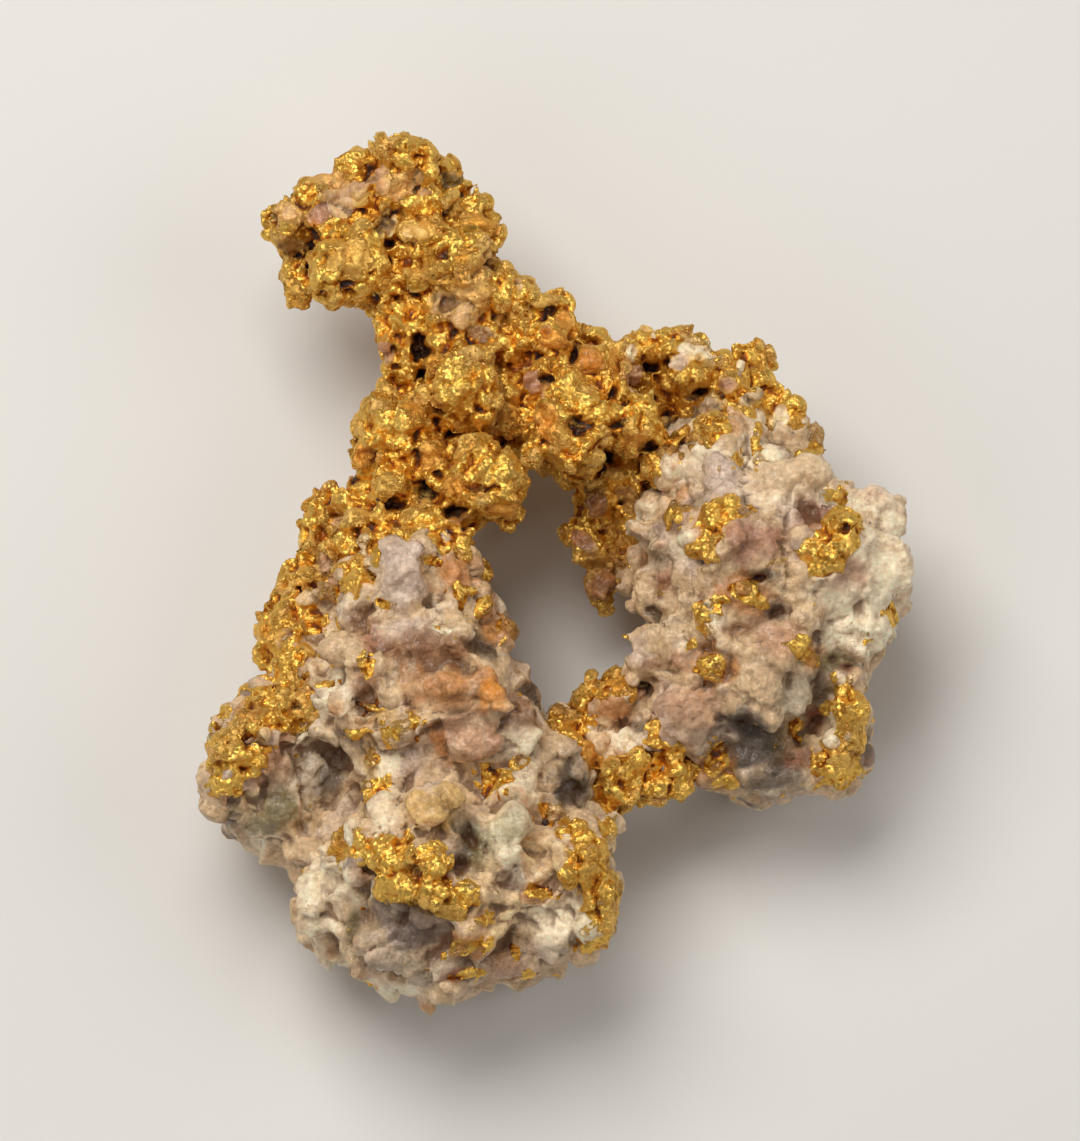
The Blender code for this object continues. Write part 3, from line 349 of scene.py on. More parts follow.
RIGHT_FILMS = (
    (756, 446, 5, 20), (757, 462, 6, 7), (813, 440, 9, 24, -8), (799, 454, 16, 4),
    (679, 517, 12, 12), (711, 530, 10, 26, -10), (741, 511, 15, 7, 10), (840, 502, 8, 16),
    (836, 521, 11, 8, 20), (816, 541, 13, 8, 30), (781, 560, 12, 4, 10), (746, 590, 17, 14),
    (761, 604, 9, 5, 10), (718, 600, 17, 8), (705, 614, 9, 15), (709, 630, 5, 7),
    (711, 668, 19, 14), (693, 644, 7, 4), (799, 645, 10, 15, -25), (808, 658, 12, 8, -20),
    (890, 618, 9, 12), (852, 479, 13, 8), (849, 680, 4, 5), (828, 706, 10, 8),
    (853, 722, 14, 24), (864, 700, 6, 14), (797, 727, 8, 8), (834, 766, 26, 19),
    (716, 757, 13, 20), (730, 779, 16, 8), (735, 458, 5, 10), (834, 680, 4, 8),
)
RIGHT_STAINS_AND_SHADE = (
    (870, 560, 56, 84, 10, WHITE), (800, 480, 60, 30, 8, WHITE), (760, 655, 60, 40, 0, BEIGE),
    (724, 480, 18, 36, 25, VIOLET_WHITE), (795, 474, 46, 22, 8, BEIGE), (752, 541, 32, 26, 0, ROSE),
    (813, 513, 22, 17, 0, RED_BROWN), (640, 522, 34, 20, -30, WHITE), (686, 545, 20, 18, 0, WHITE),
    (662, 578, 16, 12, 0, ROSE), (868, 522, 36, 38, 0, WHITE), (852, 572, 24, 20, 0, PINK),
    (860, 625, 36, 34, 0, WHITE), (760, 577, 22, 8, 0, SHADE_BLACK), (776, 612, 19, 11, 10, VIOLET_GREY),
    (652, 611, 13, 8, 0, DARK_GREY), (665, 588, 12, 12, 0, BROWN), (776, 640, 22, 20, 0, PINK),
    (806, 655, 18, 12, -20, ORANGE), (838, 662, 22, 10, 0, MOSS), (846, 671, 8, 8, 0, RED_BROWN),
    (756, 682, 32, 26, 0, BEIGE), (796, 692, 20, 24, 0, PALE_GREY), (820, 690, 16, 18, 0, DARK_GREY),
    (690, 710, 35, 34, 0, PINK), (706, 650, 14, 9, 0, BROWN), (711, 668, 24, 18, 0, AMBER),
    # (758, 748) in near black and (778, 778) in dark grey: painted shade on the underside at the bottom of
    # the right mass.
    (680, 660, 16, 14, 0, PINK), (744, 724, 26, 16, 0, SHADE_BLACK), (758, 748, 40, 30, 0, SHADE_BLACK),
    (778, 778, 40, 20, 0, DARK_GREY), (802, 757, 16, 11, 0, ROSE), (815, 718, 12, 14, 0, RED_BROWN),
    (846, 694, 14, 22, 0, VIOLET_WHITE), (864, 735, 14, 18, 0, VIOLET_WHITE), (716, 770, 22, 20, 0, AMBER),
    (690, 748, 7, 26, 0, RED_BROWN), (704, 500, 26, 12, 0, PALE_GREY), (715, 530, 16, 28, 0, AMBER),
    (679, 517, 16, 14, 0, BROWN), (745, 592, 24, 18, 0, AMBER), (650, 560, 30, 14, 0, PALE_GREY),
    (740, 630, 14, 8, 0, BROWN),
)


# ---- noise in space, points in millimetres ----
SEED_STEP = 1013
MULTIPLIER, INCREMENT = np.uint32(1664525), np.uint32(1013904223)  # a common pair for random numbers
HALF_WORD = np.uint32(16)
FAR = 9.0  # beyond any distance that counts, in cells or in half widths


def dice(cell, seed):
    """Three even random numbers from 0 to 1 for each whole-number cell of space."""
    mixed = (cell.astype(np.int64) + seed * SEED_STEP).astype(np.uint32)
    mixed = mixed * MULTIPLIER + INCREMENT
    x, y, z = mixed[..., 0], mixed[..., 1], mixed[..., 2]
    for _ in range(2):
        x = x + y * z
        y = y + z * x
        z = z + x * y
        x, y, z = (word ^ (word >> HALF_WORD) for word in (x, y, z))
    return np.stack((x, y, z), -1) / 2.0**32


def noise(points, size, seed):
    """Smooth noise, from about -1 to 1, that swings once over this size."""
    at = points / size
    low = np.floor(at)
    part = at - low
    fade = part**3 * (part * (part * 6 - 15) + 10)
    total = np.zeros(len(points))
    for corner in itertools.product((0, 1), repeat=3):
        slope = dice(low + corner, seed) * 2 - 1
        weight = np.where(corner, fade, 1 - fade).prod(-1)
        total += weight * ((part - corner) * slope).sum(-1)
    return total * 2


def fractal(points, size, seed, octaves=3, ridged=False):
    """Layers of noise, each half the size and half as strong as the one before."""
    total, reach = np.zeros(len(points)), 0.0
    for layer in range(octaves):
        swing = noise(points, size / 2**layer, seed + layer)
        if ridged:
            swing = 1 - 2 * np.abs(swing)
        total += swing / 2**layer
        reach += 1 / 2**layer
    return total / reach


def strewn(points, size, seed):
    """The nearest of seeds strewn one to a cell of space: how many cells away it and the next are, where
    the point lies from it in millimetres, and its dice."""
    at = points / size
    low = np.floor(at)
    first, second = np.full(len(at), FAR), np.full(len(at), FAR)
    away, luck = np.zeros_like(at), np.zeros_like(at)
    for step in itertools.product((-1, 0, 1), repeat=3):
        spot = dice(low + step, seed)
        gap = at - low - step - spot
        far = (gap * gap).sum(-1)
        nearer = far < first
        second = np.where(nearer, first, np.minimum(second, far))
        first = np.where(nearer, far, first)
        away[nearer] = gap[nearer]
        luck[nearer] = spot[nearer]
    return np.sqrt(first), np.sqrt(second), away * size, luck


def crystal_faces(points, size, seed, slope):
    """A relief of flat faces of this size, each tipped its own way."""
    _, _, away, luck = strewn(points, size, seed)
    return (away * (luck * 2 - 1)).sum(-1) * slope


def rise(value, low, high):
    """0 at low and short of it, 1 at high and beyond, and smooth between. High may be the lesser."""
    share = np.clip((value - low) / (high - low), 0, 1)
    return share * share * (3 - 2 * share)


def blend(first, second, share):
    """The first values, moved this share of the way to the second at each point."""
    return first + (np.array(second) - first) * share[:, None]


# ---- from photo pixels to the nugget ----
class Ground:
    """A surface, in millimetres, that rows of photo pixels are dropped on."""

    def __init__(self, points, faces):
        self.tree = BVHTree.FromPolygons(points.tolist(), faces.tolist())

    def under(self, x, y):
        """Where the line of sight through this photo pixel meets the surface, or the nearest point of it."""
        across = (x - PHOTO_WIDE / 2) * MM_PER_PIXEL
        up = (PHOTO_TALL / 2 - y) * MM_PER_PIXEL
        aim = LOOK_AT + RIGHT * across + UPWARD * up
        hit = self.tree.ray_cast(EYE, (aim - EYE).normalized())[0]
        return hit or self.tree.find_nearest(aim)[0]

    def near(self, place, reach):
        """The nearest point of the surface, if it is within reach."""
        return self.tree.find_nearest(Vector(place), reach)[0]


class Region:
    """An oval region round a point of the surface, facing the camera."""

    def __init__(self, ground, x, y, wide, tall, turn=0, extra=None):
        self.middle = ground.under(x, y)
        spin = Matrix.Rotation(math.radians(turn), 3, TOWARDS)
        self.side, self.up = spin @ RIGHT, spin @ UPWARD
        self.wide, self.tall = wide * MM_PER_PIXEL, tall * MM_PER_PIXEL
        self.deep = max(self.wide, self.tall, REGION_DEPTH)
        self.extra = extra  # a pit's depth, or a window's or stain's colour

    def hold(self, points):
        """1 at the region's middle, 0 on its rim and below 0 outside it, for each point."""
        away = points - np.array(self.middle)
        x = away @ np.array(self.side) / self.wide
        y = away @ np.array(self.up) / self.tall
        z = away @ np.array(TOWARDS) / self.deep
        return 1 - np.sqrt(x * x + y * y + z * z)


def most(regions, points):
    """The greatest hold that any of the regions has of each point."""
    best = np.full(len(points), -FAR)
    for region in regions:
        best = np.maximum(best, region.hold(points))
    return best


# ---- a skin's points ----
class Skin:
    """A mesh's points and edges as arrays, in millimetres."""

    def __init__(self, mesh):
        self.mesh = mesh
        edges = np.empty(len(mesh.edges) * 2, np.int32)
        mesh.edges.foreach_get("vertices", edges)
        self.ends = edges.reshape(-1, 2)
        self.links = np.bincount(self.ends.ravel(), minlength=len(mesh.vertices))
        flat = np.empty(len(mesh.vertices) * 3, np.float32)
        mesh.vertices.foreach_get("co", flat)
        self.points = flat.reshape(-1, 3).astype(float) / MM

    def normals(self):
        """Each point's normal, once the mesh has the points' present places."""
        self.mesh.vertices.foreach_set("co", (self.points * MM).astype(np.float32).ravel())
        self.mesh.update()
        flat = np.empty(len(self.points) * 3, np.float32)
        self.mesh.vertex_normals.foreach_get("vector", flat)
        return flat.reshape(-1, 3).astype(float)

    def neighbours(self, values):
        """The mean of each point's neighbours."""
        first, second = self.ends.T
        total = np.zeros_like(values)
        for column in range(values.shape[1]):
            total[:, column] = np.bincount(first, values[second, column], len(values))
            total[:, column] += np.bincount(second, values[first, column], len(values))
        return total / self.links[:, None]

    def relax(self, values, rounds, share=0.5):
        """The values, moved this share of the way to their neighbours' mean in each round."""
        for _ in range(rounds):
            values = values * (1 - share) + self.neighbours(values) * share
        return values

    def push(self, distance):
        """Moves each point along its normal."""
        self.points = self.points + self.normals() * distance[:, None]

    def hollow(self, rounds):
        """How deep each point lies below its smoothed surroundings."""
        smooth = self.relax(self.points, rounds, FULL_BLEND)
        return ((smooth - self.points) * self.normals()).sum(-1)

    def fill(self, rounds):
        """Draws narrow holes out towards the smoothed surface, and leaves what stands out of it."""
        smooth = self.relax(self.points, rounds, FULL_BLEND)
        outward = self.relax(self.normals(), rounds // 2, FULL_BLEND)
        outward /= np.linalg.norm(outward, axis=1)[:, None] + 1e-6  # never divides by 0
        depth = ((smooth - self.points) * outward).sum(-1)
        self.points = blend(self.points, smooth, rise(depth, *FILLED_DEPTHS))

    def keep(self, name, values):
        """Stores values on the mesh's points under this name: one number each, or a colour."""
        if values.ndim == 1:
            layer = self.mesh.attributes.new(name, "FLOAT", "POINT")
            layer.data.foreach_set("value", values.astype(np.float32))
            return
        layer = self.mesh.attributes.new(name, "FLOAT_COLOR", "POINT")
        colours = np.concatenate((values, np.ones((len(values), 1))), 1)
        layer.data.foreach_set("color", colours.astype(np.float32).ravel())


# ---- the skin's knobs ----
def solid_of(node):
    """A CAD node's points in millimetres and its triangles."""
    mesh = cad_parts[node].data
    mesh.calc_loop_triangles()
    corner = [tuple(round(c / MM, 4) for c in v.co) for v in mesh.vertices]
    index = {place: i for i, place in enumerate(dict.fromkeys(corner))}
    faces = [[index[corner[v]] for v in t.vertices] for t in mesh.loop_triangles]
    return np.array(list(index)), np.array([face for face in faces if len(set(face)) == 3])


def ball(steps):
    """A unit ball's points and faces."""
    bm = bmesh.new()
    bmesh.ops.create_icosphere(bm, subdivisions=steps, radius=1)
    bm.verts.index_update()
    points = np.array([v.co for v in bm.verts])
    faces = np.array([[v.index for v in f.verts] for f in bm.faces])
    bm.free()
    return points, faces


FINE_BALL, COARSE_BALL = ball(3), ball(2)


def oval(shape, middle, axes, halves, rough, luck):
    """A ball stretched to these halves along these axes, its points thrown in, and less far out."""
    points, faces = shape
    points = points * (1 + luck.uniform(-rough, rough * 0.4, (len(points), 1)))
    return points * np.array(halves) @ np.array(axes) + np.array(middle), faces


def joined(shells):
    """The points and faces of all the shells as one."""
    starts = np.cumsum([0] + [len(points) for points, _ in shells])
    faces = [faces + start for (_, faces), start in zip(shells, starts)]
    return np.concatenate([points for points, _ in shells]), np.concatenate(faces)


def mesh_of(name, points, faces):
    mesh = bpy.data.meshes.new(name)
    mesh.from_pydata(points * MM, [], faces)
    return mesh


def strew(points, faces, piece, regions, others):
    """Places for small knobs over the whole surface, each clear of those before it: (place, normal, size,
    the point of a near neighbour that it grows into, if there is one)."""
    luck = np.random.default_rng(piece.seed)
    corners = points[faces]
    cross = np.cross(corners[:, 1] - corners[:, 0], corners[:, 2] - corners[:, 0])
    areas = np.linalg.norm(cross, axis=1)
    reach = np.cumsum(areas)
    spots = luck.random((piece.tries, 5))
    picked = np.searchsorted(reach, spots[:, 0] * reach[-1])
    a, b = np.sort(spots[:, 1:3], axis=1).T
    weights = np.stack((a, b - a, 1 - b), -1)
    places = (corners[picked] * weights[:, :, None]).sum(1)
    normals = cross[picked] / areas[picked, None]
    in_view = rise(normals @ np.array(TOWARDS), 0.0, 0.4)
    free = (most(regions, places) < 0) & (spots[:, 4] > in_view * piece.spared)
    small, large = piece.sizes
    sizes = small + (large - small) * spots[:, 3] ** SMALLNESS * (1 - in_view * SEEN_SHRINK)
    kept, tops = np.empty((0, 3)), np.empty(0)
    found = []
    for place, normal, size, open_spot in zip(places, normals, sizes, free):
        bridge = others.near(place, BRIDGE)
        if bridge is None and not open_spot:
            continue
        if (np.linalg.norm(kept - place, axis=1) < SPACING * (size + tops) / 2).any():
            continue
        kept, tops = np.vstack((kept, place)), np.append(tops, size)
        found.append((place, normal, size, bridge))
    return found


def seen_knob(piece, region, luck):
    """A knob that the tables give, facing the camera."""
    half = min(region.wide, region.tall)
    deep = max(half * KNOB_DEPTH, piece.drawn_in * SEEN_ROOT + ROOT)
    middle = region.middle + TOWARDS * (min(piece.stand, half * SEEN_STAND) - deep)
    axes, halves = (region.side, region.up, TOWARDS), (region.wide, region.tall, deep)
    return oval(FINE_BALL if half > FINE_FROM else COARSE_BALL, middle, axes, halves, piece.rough, luck)


def strewn_knob(piece, place, normal, size, bridge, luck):
    """A small knob that stands out of the surface, or one between it and a near neighbour."""
    place, normal = Vector(place), Vector(normal)
    side = Matrix.Rotation(luck.uniform(0, math.tau), 3, normal) @ normal.orthogonal().normalized()
    deep = max(size * KNOB_DEPTH, piece.drawn_in * STREWN_ROOT + ROOT)
    halves = (size * luck.uniform(*STRETCHES), size * luck.uniform(*STRETCHES), deep)
    middle = place + normal * (piece.stand * luck.uniform(*STANDS) - deep)
    if bridge is not None:
        middle = (place + bridge) / 2
        halves = [max(half, piece.drawn_in + BRIDGE_WIDTH) for half in halves]
    return oval(COARSE_BALL, middle, (side, normal.cross(side), normal), halves, piece.rough, luck)


def fused(name, piece, points, faces, regions, others):
    """The solid, drawn in a little, with knobs on its surface, all fused into one fine skin."""
    plain = mesh_of(name, points, faces)
    skin = Skin(plain)
    skin.push(np.full(len(points), -piece.drawn_in))
    bpy.data.meshes.remove(plain)
    luck = np.random.default_rng(piece.seed)
    shells = [(skin.points, faces)]
    shells += [seen_knob(piece, region, luck) for region in regions]
    shells += [strewn_knob(piece, *spot, luck) for spot in strew(points, faces, piece, regions, others)]
    raw = mesh_of(name, *joined(shells))
    thing = bpy.data.objects.new(name, raw)
    bpy.context.collection.objects.link(thing)
    remesh = thing.modifiers.new("Skin", "REMESH")
    remesh.mode = "VOXEL"
    remesh.voxel_size = piece.cell * MM
    graph = bpy.context.evaluated_depsgraph_get()
    whole = bpy.data.meshes.new_from_object(thing.evaluated_get(graph))
    thing.modifiers.clear()
    thing.data = whole
    bpy.data.meshes.remove(raw)
    return thing


# ---- the skin's relief and marks ----
def gold_share(skin, piece, seen):
    """Above 0.5 where gold shows and below it where quartz does, with ragged edges between."""
    points = skin.points
    ragged = fractal(points, 0.8, seed=71, octaves=4)
    facing = rise(skin.normals() @ np.array(TOWARDS), -0.15, 0.25)
    if piece.gold:
        bare_behind = rise(fractal(points, 2.4, seed=55), 0.22, 0.34) * (1 - facing)
        bare = rise(most(seen.windows, points) + ragged * 0.55, -0.12, 0.35)
        return 1 - np.maximum(bare, bare_behind)
    held = most(seen.films, points)
    films = rise(held + ragged * 0.75, -0.12, 0.28)
    veins = fractal(points, 2.6, seed=51, ridged=True) + noise(points, 6.0, seed=52) * 0.35
    specks = rise(fractal(points, 0.5, seed=53, octaves=2) + rise(held, -1.2, 0.0) * 0.25, 0.55, 0.7)
    specks *= rise(noise(points, 2.2, seed=54) + rise(held, -1.0, 0.0), 0.1, 0.4)
    veins_behind = rise(veins + ragged * 0.3, 0.58, 0.8) * (1 - facing)
    return np.clip(np.maximum.reduce((films, veins_behind, specks)), 0, 1)


def satin_share(points, piece, seen, valley):
    """Where the gold has a satin bloom: in patches, and where a gold piece's stains are."""
    satin = rise(fractal(points, 1.7, seed=61) - valley * 1.5, 0.0, 0.35) * 0.8
    if piece.gold:
        stained = most(seen.stains, points) + fractal(points, 0.8, seed=63) * 0.6
        satin = np.maximum(satin, rise(stained, -0.1, 0.4))
    return satin


def foil_relief(points, valley, satin):
    """The height of crumpled gold foil, more hackly in the valleys and smoother where it is satiny."""
    hackly = 0.25 + rise(valley, -0.02, 0.10) * 0.3 + rise(noise(points, 1.6, seed=18), 0.0, 0.5) * 0.5
    hackly = np.clip(hackly - satin * 0.4, 0.1, 1.0)
    height = fractal(points, 1.3, seed=11) * 0.10 + crystal_faces(points, 1.0, seed=12, slope=0.36)
    folds = fractal(points, 0.5, seed=14, octaves=2, ridged=True) * 0.02
    height += (crystal_faces(points, 0.45, seed=13, slope=0.26) + folds) * hackly
    height -= rise(noise(points, 0.6, seed=15), 0.35, 0.7) * DENT_DEPTH * hackly
    return height


def grain_relief(points, crisp):
    """The height of quartz crystals: flat faces, cracks between them and small pits."""
    height = fractal(points, 1.6, seed=21) * 0.14
    large = crystal_faces(points, 1.4, seed=22, slope=0.38)
    height += (large + crystal_faces(points, 0.7, seed=23, slope=0.16)) * crisp
    first, second, _, _ = strewn(points, 1.9, seed=24)
    cracks = 1 - rise(second - first, 0.0, 0.06)
    height -= cracks * CRACK_DEPTH * rise(noise(points, 3.0, seed=25), 0.0, 0.4)
    height -= rise(fractal(points, 0.5, seed=26, octaves=2), 0.42, 0.64) * POCK_DEPTH
    return height


def pit_depth(points, pits):
    """How far the pits of the tables go in at each point, with ragged edges."""
    inward = np.zeros(len(points))
    for pit in pits:
        ragged = fractal(points, 0.6, seed=31, octaves=2) * 0.6
        inward += rise(pit.hold(points) + ragged, 0.0, 0.8) * pit.extra
    return inward


# Colours that drift over a piece's own: (colour, size in mm, seed, octaves, noise where it starts and
# where it is full, strength).
GOLD_DRIFTS = (
    (ORANGE_GOLD, 2.2, 41, 3, 0.05, 0.4, 1.0),
    (PEACH, 1.8, 44, 3, 0.15, 0.5, 0.8),
)
QUARTZ_DRIFTS = (
    (WHITE, 3.2, 41, 4, 0.05, 0.45, 1.0),
    (VIOLET_WHITE, 3.2, 41, 4, -0.1, -0.45, 0.8),  # the same noise as the white, where it is low
    (VIOLET_GREY, 2.4, 43, 4, 0.28, 0.6, 0.8),
    (AMBER, 2.0, 45, 4, 0.3, 0.6, 0.6),
    (BROWN, 1.2, 47, 4, 0.38, 0.7, 0.7),
)


def tint(points, piece, seen):
    """The quartz's own colour, or that of a satin skin on the gold, with the tables' stains and windows,
    whose near-black and some dark grey rows are painted shade.
    """
    own, drifts = (STRAW_GOLD, GOLD_DRIFTS) if piece.gold else (BEIGE, QUARTZ_DRIFTS)
    base = np.array(own) * np.ones((len(points), 1))
    for colour, size, seed, octaves, start, full, strength in drifts:
        base = blend(base, colour, rise(fractal(points, size, seed, octaves), start, full) * strength)
    edge = fractal(points, 1.1, seed=49, octaves=4)
    for region in (*seen.windows, *seen.stains):
        share = rise(region.hold(points) + edge * 0.9, -0.45, 0.55)
        base = blend(base, region.extra, share * STAIN_STRENGTH)
    return base


def sculpt(thing, piece, seen):
    """Breaks the skin up into crystal faces, foil and pits, and keeps on it what the material reads."""
    skin = Skin(thing.data)
    for rounds in FILL_ROUNDS:
        skin.fill(rounds)
    skin.points = skin.relax(skin.points, piece.soften)
    points = skin.points
    valley = skin.hollow(VALLEY_ROUNDS)
    gold = gold_share(skin, piece, seen)
    satin = satin_share(points, piece, seen, valley)
    foil, grains = foil_relief(points, valley, satin), grain_relief(points, piece.crisp)
    if not piece.gold:
        foil = grains * 0.6 + foil * 0.7 + FILM_DEPTH
    skin.push(foil * gold + grains * (1 - gold))
    inward = pit_depth(points, seen.pits)
    skin.points = skin.relax(skin.points - np.array(TOWARDS) * inward[:, None], 1, 0.35)
    skin.points[:, 2] = np.maximum(skin.points[:, 2], 0.0)  # nothing goes below the floor
    # Painted shade: how deep each point lies in a crevice, a broad hollow or a pit; the material darkens
    # these by it.
    crevice = rise(skin.hollow(NEAR_ROUNDS), 0.0, 0.05)
    broad = rise(skin.hollow(BROAD_ROUNDS), 0.02, 0.35)
    skin.keep("gold", gold)
    skin.keep("satin", np.clip(satin, 0, 1))
    skin.keep("hollow", np.clip(crevice * 0.4 + broad * 1.1 + rise(inward, 0.1, 0.7), 0, 1))
    skin.keep("tint", tint(points, piece, seen))
    thing.data.shade_smooth()


# ---- materials, sizes in millimetres ----
QUARTZ_IOR = 1.54
GLOW_WEIGHT, GLOW_DEPTH, GLOW_RADII = 0.5, 0.4, (1.0, 0.75, 0.6)  # light that passes under the surface
FINE_GLINTS, BROAD_GLINTS = 0.14, 0.36  # the facets that only the material shows
QUARTZ_SLOPE, FOIL_SLOPE, SATIN_SLOPE = 0.34, 0.85, 0.45  # how steeply they are tipped
CARD_GREY, CARD_ROUGHNESS = 0.78, 0.7


class Wires:
    """Adds shader nodes and joins them up."""

    def __init__(self, name):
        self.material = bpy.data.materials.new(name)
        self.material.use_nodes = True
        self.tree = self.material.node_tree
        self.shader = self.tree.nodes["Principled BSDF"]

    def add(self, kind, settings=(), **sockets):
        """A node of this kind. A socket is named with _ for a space, and takes a value or a link."""
        node = self.tree.nodes.new("ShaderNode" + kind)
        for name, value in dict(settings).items():
            setattr(node, name, value)
        for name, value in sockets.items():
            self.set(node.inputs[name.replace("_", " ")], value)
        return node

    def set(self, socket, value):
        if isinstance(value, bpy.types.NodeSocket):
            self.tree.links.new(value, socket)
        else:
            socket.default_value = value

    def fill(self, node, values):
        """Sets the node's first sockets to these values, in order."""
        for socket, value in zip(node.inputs, values):
            self.set(socket, value)
        return node.outputs[0]

    def maths(self, operation, first, second=0.0):
        return self.fill(self.add("Math", {"operation": operation}), (first, second))

    def plus(self, first, second):
        return self.maths("ADD", first, second)

    def times(self, first, second):
        return self.maths("MULTIPLY", first, second)

    def mix(self, share, first, second, blend_type="MIX"):
        """Colours mixed."""
        node = self.add("Mix", {"data_type": "RGBA", "blend_type": blend_type})
        self.set(node.inputs[0], share)
        for socket, colour in zip(node.inputs[6:8], (first, second)):
            self.set(socket, colour if isinstance(colour, bpy.types.NodeSocket) else (*colour, 1))
        return node.outputs[2]

    def between(self, share, first, second):
        """Numbers mixed."""
        node = self.add("Mix", {"data_type": "FLOAT"})
        for socket, value in zip((node.inputs[0], node.inputs[2], node.inputs[3]), (share, first, second)):
            self.set(socket, value)
        return node.outputs[0]

    def ramp(self, value, low, high, out_low=0.0, out_high=1.0):
        return self.fill(self.add("MapRange"), (value, low, high, out_low, out_high))

    def grey(self, value):
        return self.fill(self.add("CombineColor"), (value, value, value))

    def kept(self, name, output="Fac"):
        """What a skin keeps on its points under this name."""
        return self.add("Attribute", {"attribute_name": name}).outputs[output]

    def place(self):
        return self.add("TexCoord").outputs["Object"]

    def noise(self, size, detail=3.0, swing=1.0):
        """Noise in space that swings over this size, centred on 0."""
        node = self.add(
            "TexNoise", Vector=self.place(), Scale=1 / (size * MM), Detail=detail, Roughness=0.55
        )
        return self.times(self.maths("SUBTRACT", node.outputs[0], 0.5), 2 * swing)

    def glints(self, size):
        """A height of small flat faces of this size, each tipped its own way."""
        scale = 1 / (size * MM)
        cells = self.add("TexVoronoi", Vector=self.place(), Scale=scale)
        grown = self.add("VectorMath", {"operation": "SCALE"}, Vector=self.place(), Scale=scale)
        away = self.add("VectorMath", {"operation": "SUBTRACT"})
        away = self.fill(away, (grown.outputs[0], cells.outputs["Position"]))
        tip = self.add("VectorMath", {"operation": "SUBTRACT"})
        tip = self.fill(tip, (cells.outputs["Color"], (0.5, 0.5, 0.5)))
        height = self.add("VectorMath", {"operation": "DOT_PRODUCT"})
        self.fill(height, (away, tip))
        return self.times(height.outputs["Value"], size)


def gold_colour(wires, depth, bloom, stain):
    """Painted light on the knobs and painted shade in the crevices, from orange reflected light with some
    brown oxide to near black, with its own colour where it has a satin bloom.
    """
    gold = wires.mix(wires.ramp(depth, -0.1, 0.25), GOLD_BRIGHT, GOLD_MID)
    gold = wires.mix(wires.ramp(depth, 0.25, 0.6), gold, GOLD_DEEP)
    gold = wires.mix(wires.ramp(depth, 0.6, 1.0), gold, GOLD_SHADE)
    return wires.mix(bloom, gold, stain)


def quartz_colour(wires, hollow, mottle, stain):
    """The stain, clouded, with hairline cracks, dirt and painted shade in the hollows and dark specks."""
    cloudy = wires.plus(wires.noise(1.0, 4.0, swing=0.5), wires.noise(0.25, 2.5, swing=0.45))
    quartz = wires.mix(1.0, stain, wires.grey(wires.plus(cloudy, 1.08)), "MULTIPLY")
    crack = wires.ramp(wires.maths("ABSOLUTE", wires.noise(2.6, 4.0)), 0.0, 0.012, 0.4, 0.0)
    quartz = wires.mix(crack, quartz, DIRT_AND_SHADE)
    # Dirt and painted shade: darker brown towards the hollows.
    dirt_and_shade = wires.ramp(wires.plus(hollow, wires.times(mottle, 0.3)), 0.35, 1.0, 0.0, 0.8)
    quartz = wires.mix(dirt_and_shade, quartz, DIRT_AND_SHADE)
    specks = wires.ramp(wires.noise(0.3, 2.0), 0.42, 0.55, 0.0, 0.6)
    return wires.mix(specks, quartz, DARK_GREY)


def rock():
    """Native gold where the gold value is high, milky quartz with its stains elsewhere."""
    wires = Wires("gold_and_quartz")
    inputs = wires.shader.inputs
    hollow, stain = wires.kept("hollow"), wires.kept("tint", "Color")
    metal = wires.ramp(wires.plus(wires.kept("gold"), wires.noise(0.25, 2.0, swing=0.35)), 0.46, 0.54)
    mottle = wires.noise(0.45, 2.5)
    depth = wires.plus(hollow, wires.times(mottle, 0.25))
    bloom = wires.plus(wires.kept("satin"), wires.noise(0.28, 2.0, swing=0.8))
    bloom = wires.ramp(bloom, 0.4, 0.8, 0.0, 0.8)
    gold = gold_colour(wires, depth, bloom, stain)
    wires.set(inputs["Base Color"], wires.mix(metal, quartz_colour(wires, hollow, mottle, stain), gold))

    # Painted shade: the metal turns dull towards the deepest hollows, so they show their near-black colour.
    hollow_shade = wires.ramp(depth, 0.45, 0.95)
    metal_kept = wires.times(wires.ramp(bloom, 0.0, 1.0, 1.0, 0.5), wires.ramp(hollow_shade, 0.0, 1.0, 1.0, 0.15))
    wires.set(inputs["Metallic"], wires.times(metal, metal_kept))
    foil = wires.plus(wires.ramp(bloom, 0.0, 1.0, 0.5, 0.6), wires.noise(0.2, 1.5, swing=0.16))
    waxy = wires.plus(wires.times(mottle, 0.2), 0.38)
    wires.set(inputs["Roughness"], wires.between(metal, waxy, foil))
    inputs["IOR"].default_value = QUARTZ_IOR
    inputs["Subsurface Weight"].default_value = GLOW_WEIGHT
    inputs["Subsurface Radius"].default_value = GLOW_RADII
    inputs["Subsurface Scale"].default_value = GLOW_DEPTH * MM

    foil_slope = wires.ramp(bloom, 0.0, 1.0, FOIL_SLOPE, SATIN_SLOPE)
    facets = wires.plus(wires.glints(FINE_GLINTS), wires.times(wires.glints(BROAD_GLINTS), 0.7))
    facets = wires.times(facets, wires.between(metal, QUARTZ_SLOPE, foil_slope))
    grit = wires.plus(wires.noise(0.18, 1.5, swing=0.024), wires.noise(0.6, 3.0, swing=0.04))
    bump = wires.add("Bump", Height=wires.plus(facets, grit), Distance=MM, Strength=1.0)
    wires.set(inputs["Normal"], bump.outputs[0])
    return wires.material


def floor_material():
    """Matt pale card."""
    wires = Wires("pale_floor")
    tone = wires.grey(wires.plus(wires.noise(30.0, 1.0, swing=0.01), CARD_GREY))
    wires.set(wires.shader.inputs["Base Color"], tone)
    wires.shader.inputs["Roughness"].default_value = CARD_ROUGHNESS
    return wires.material


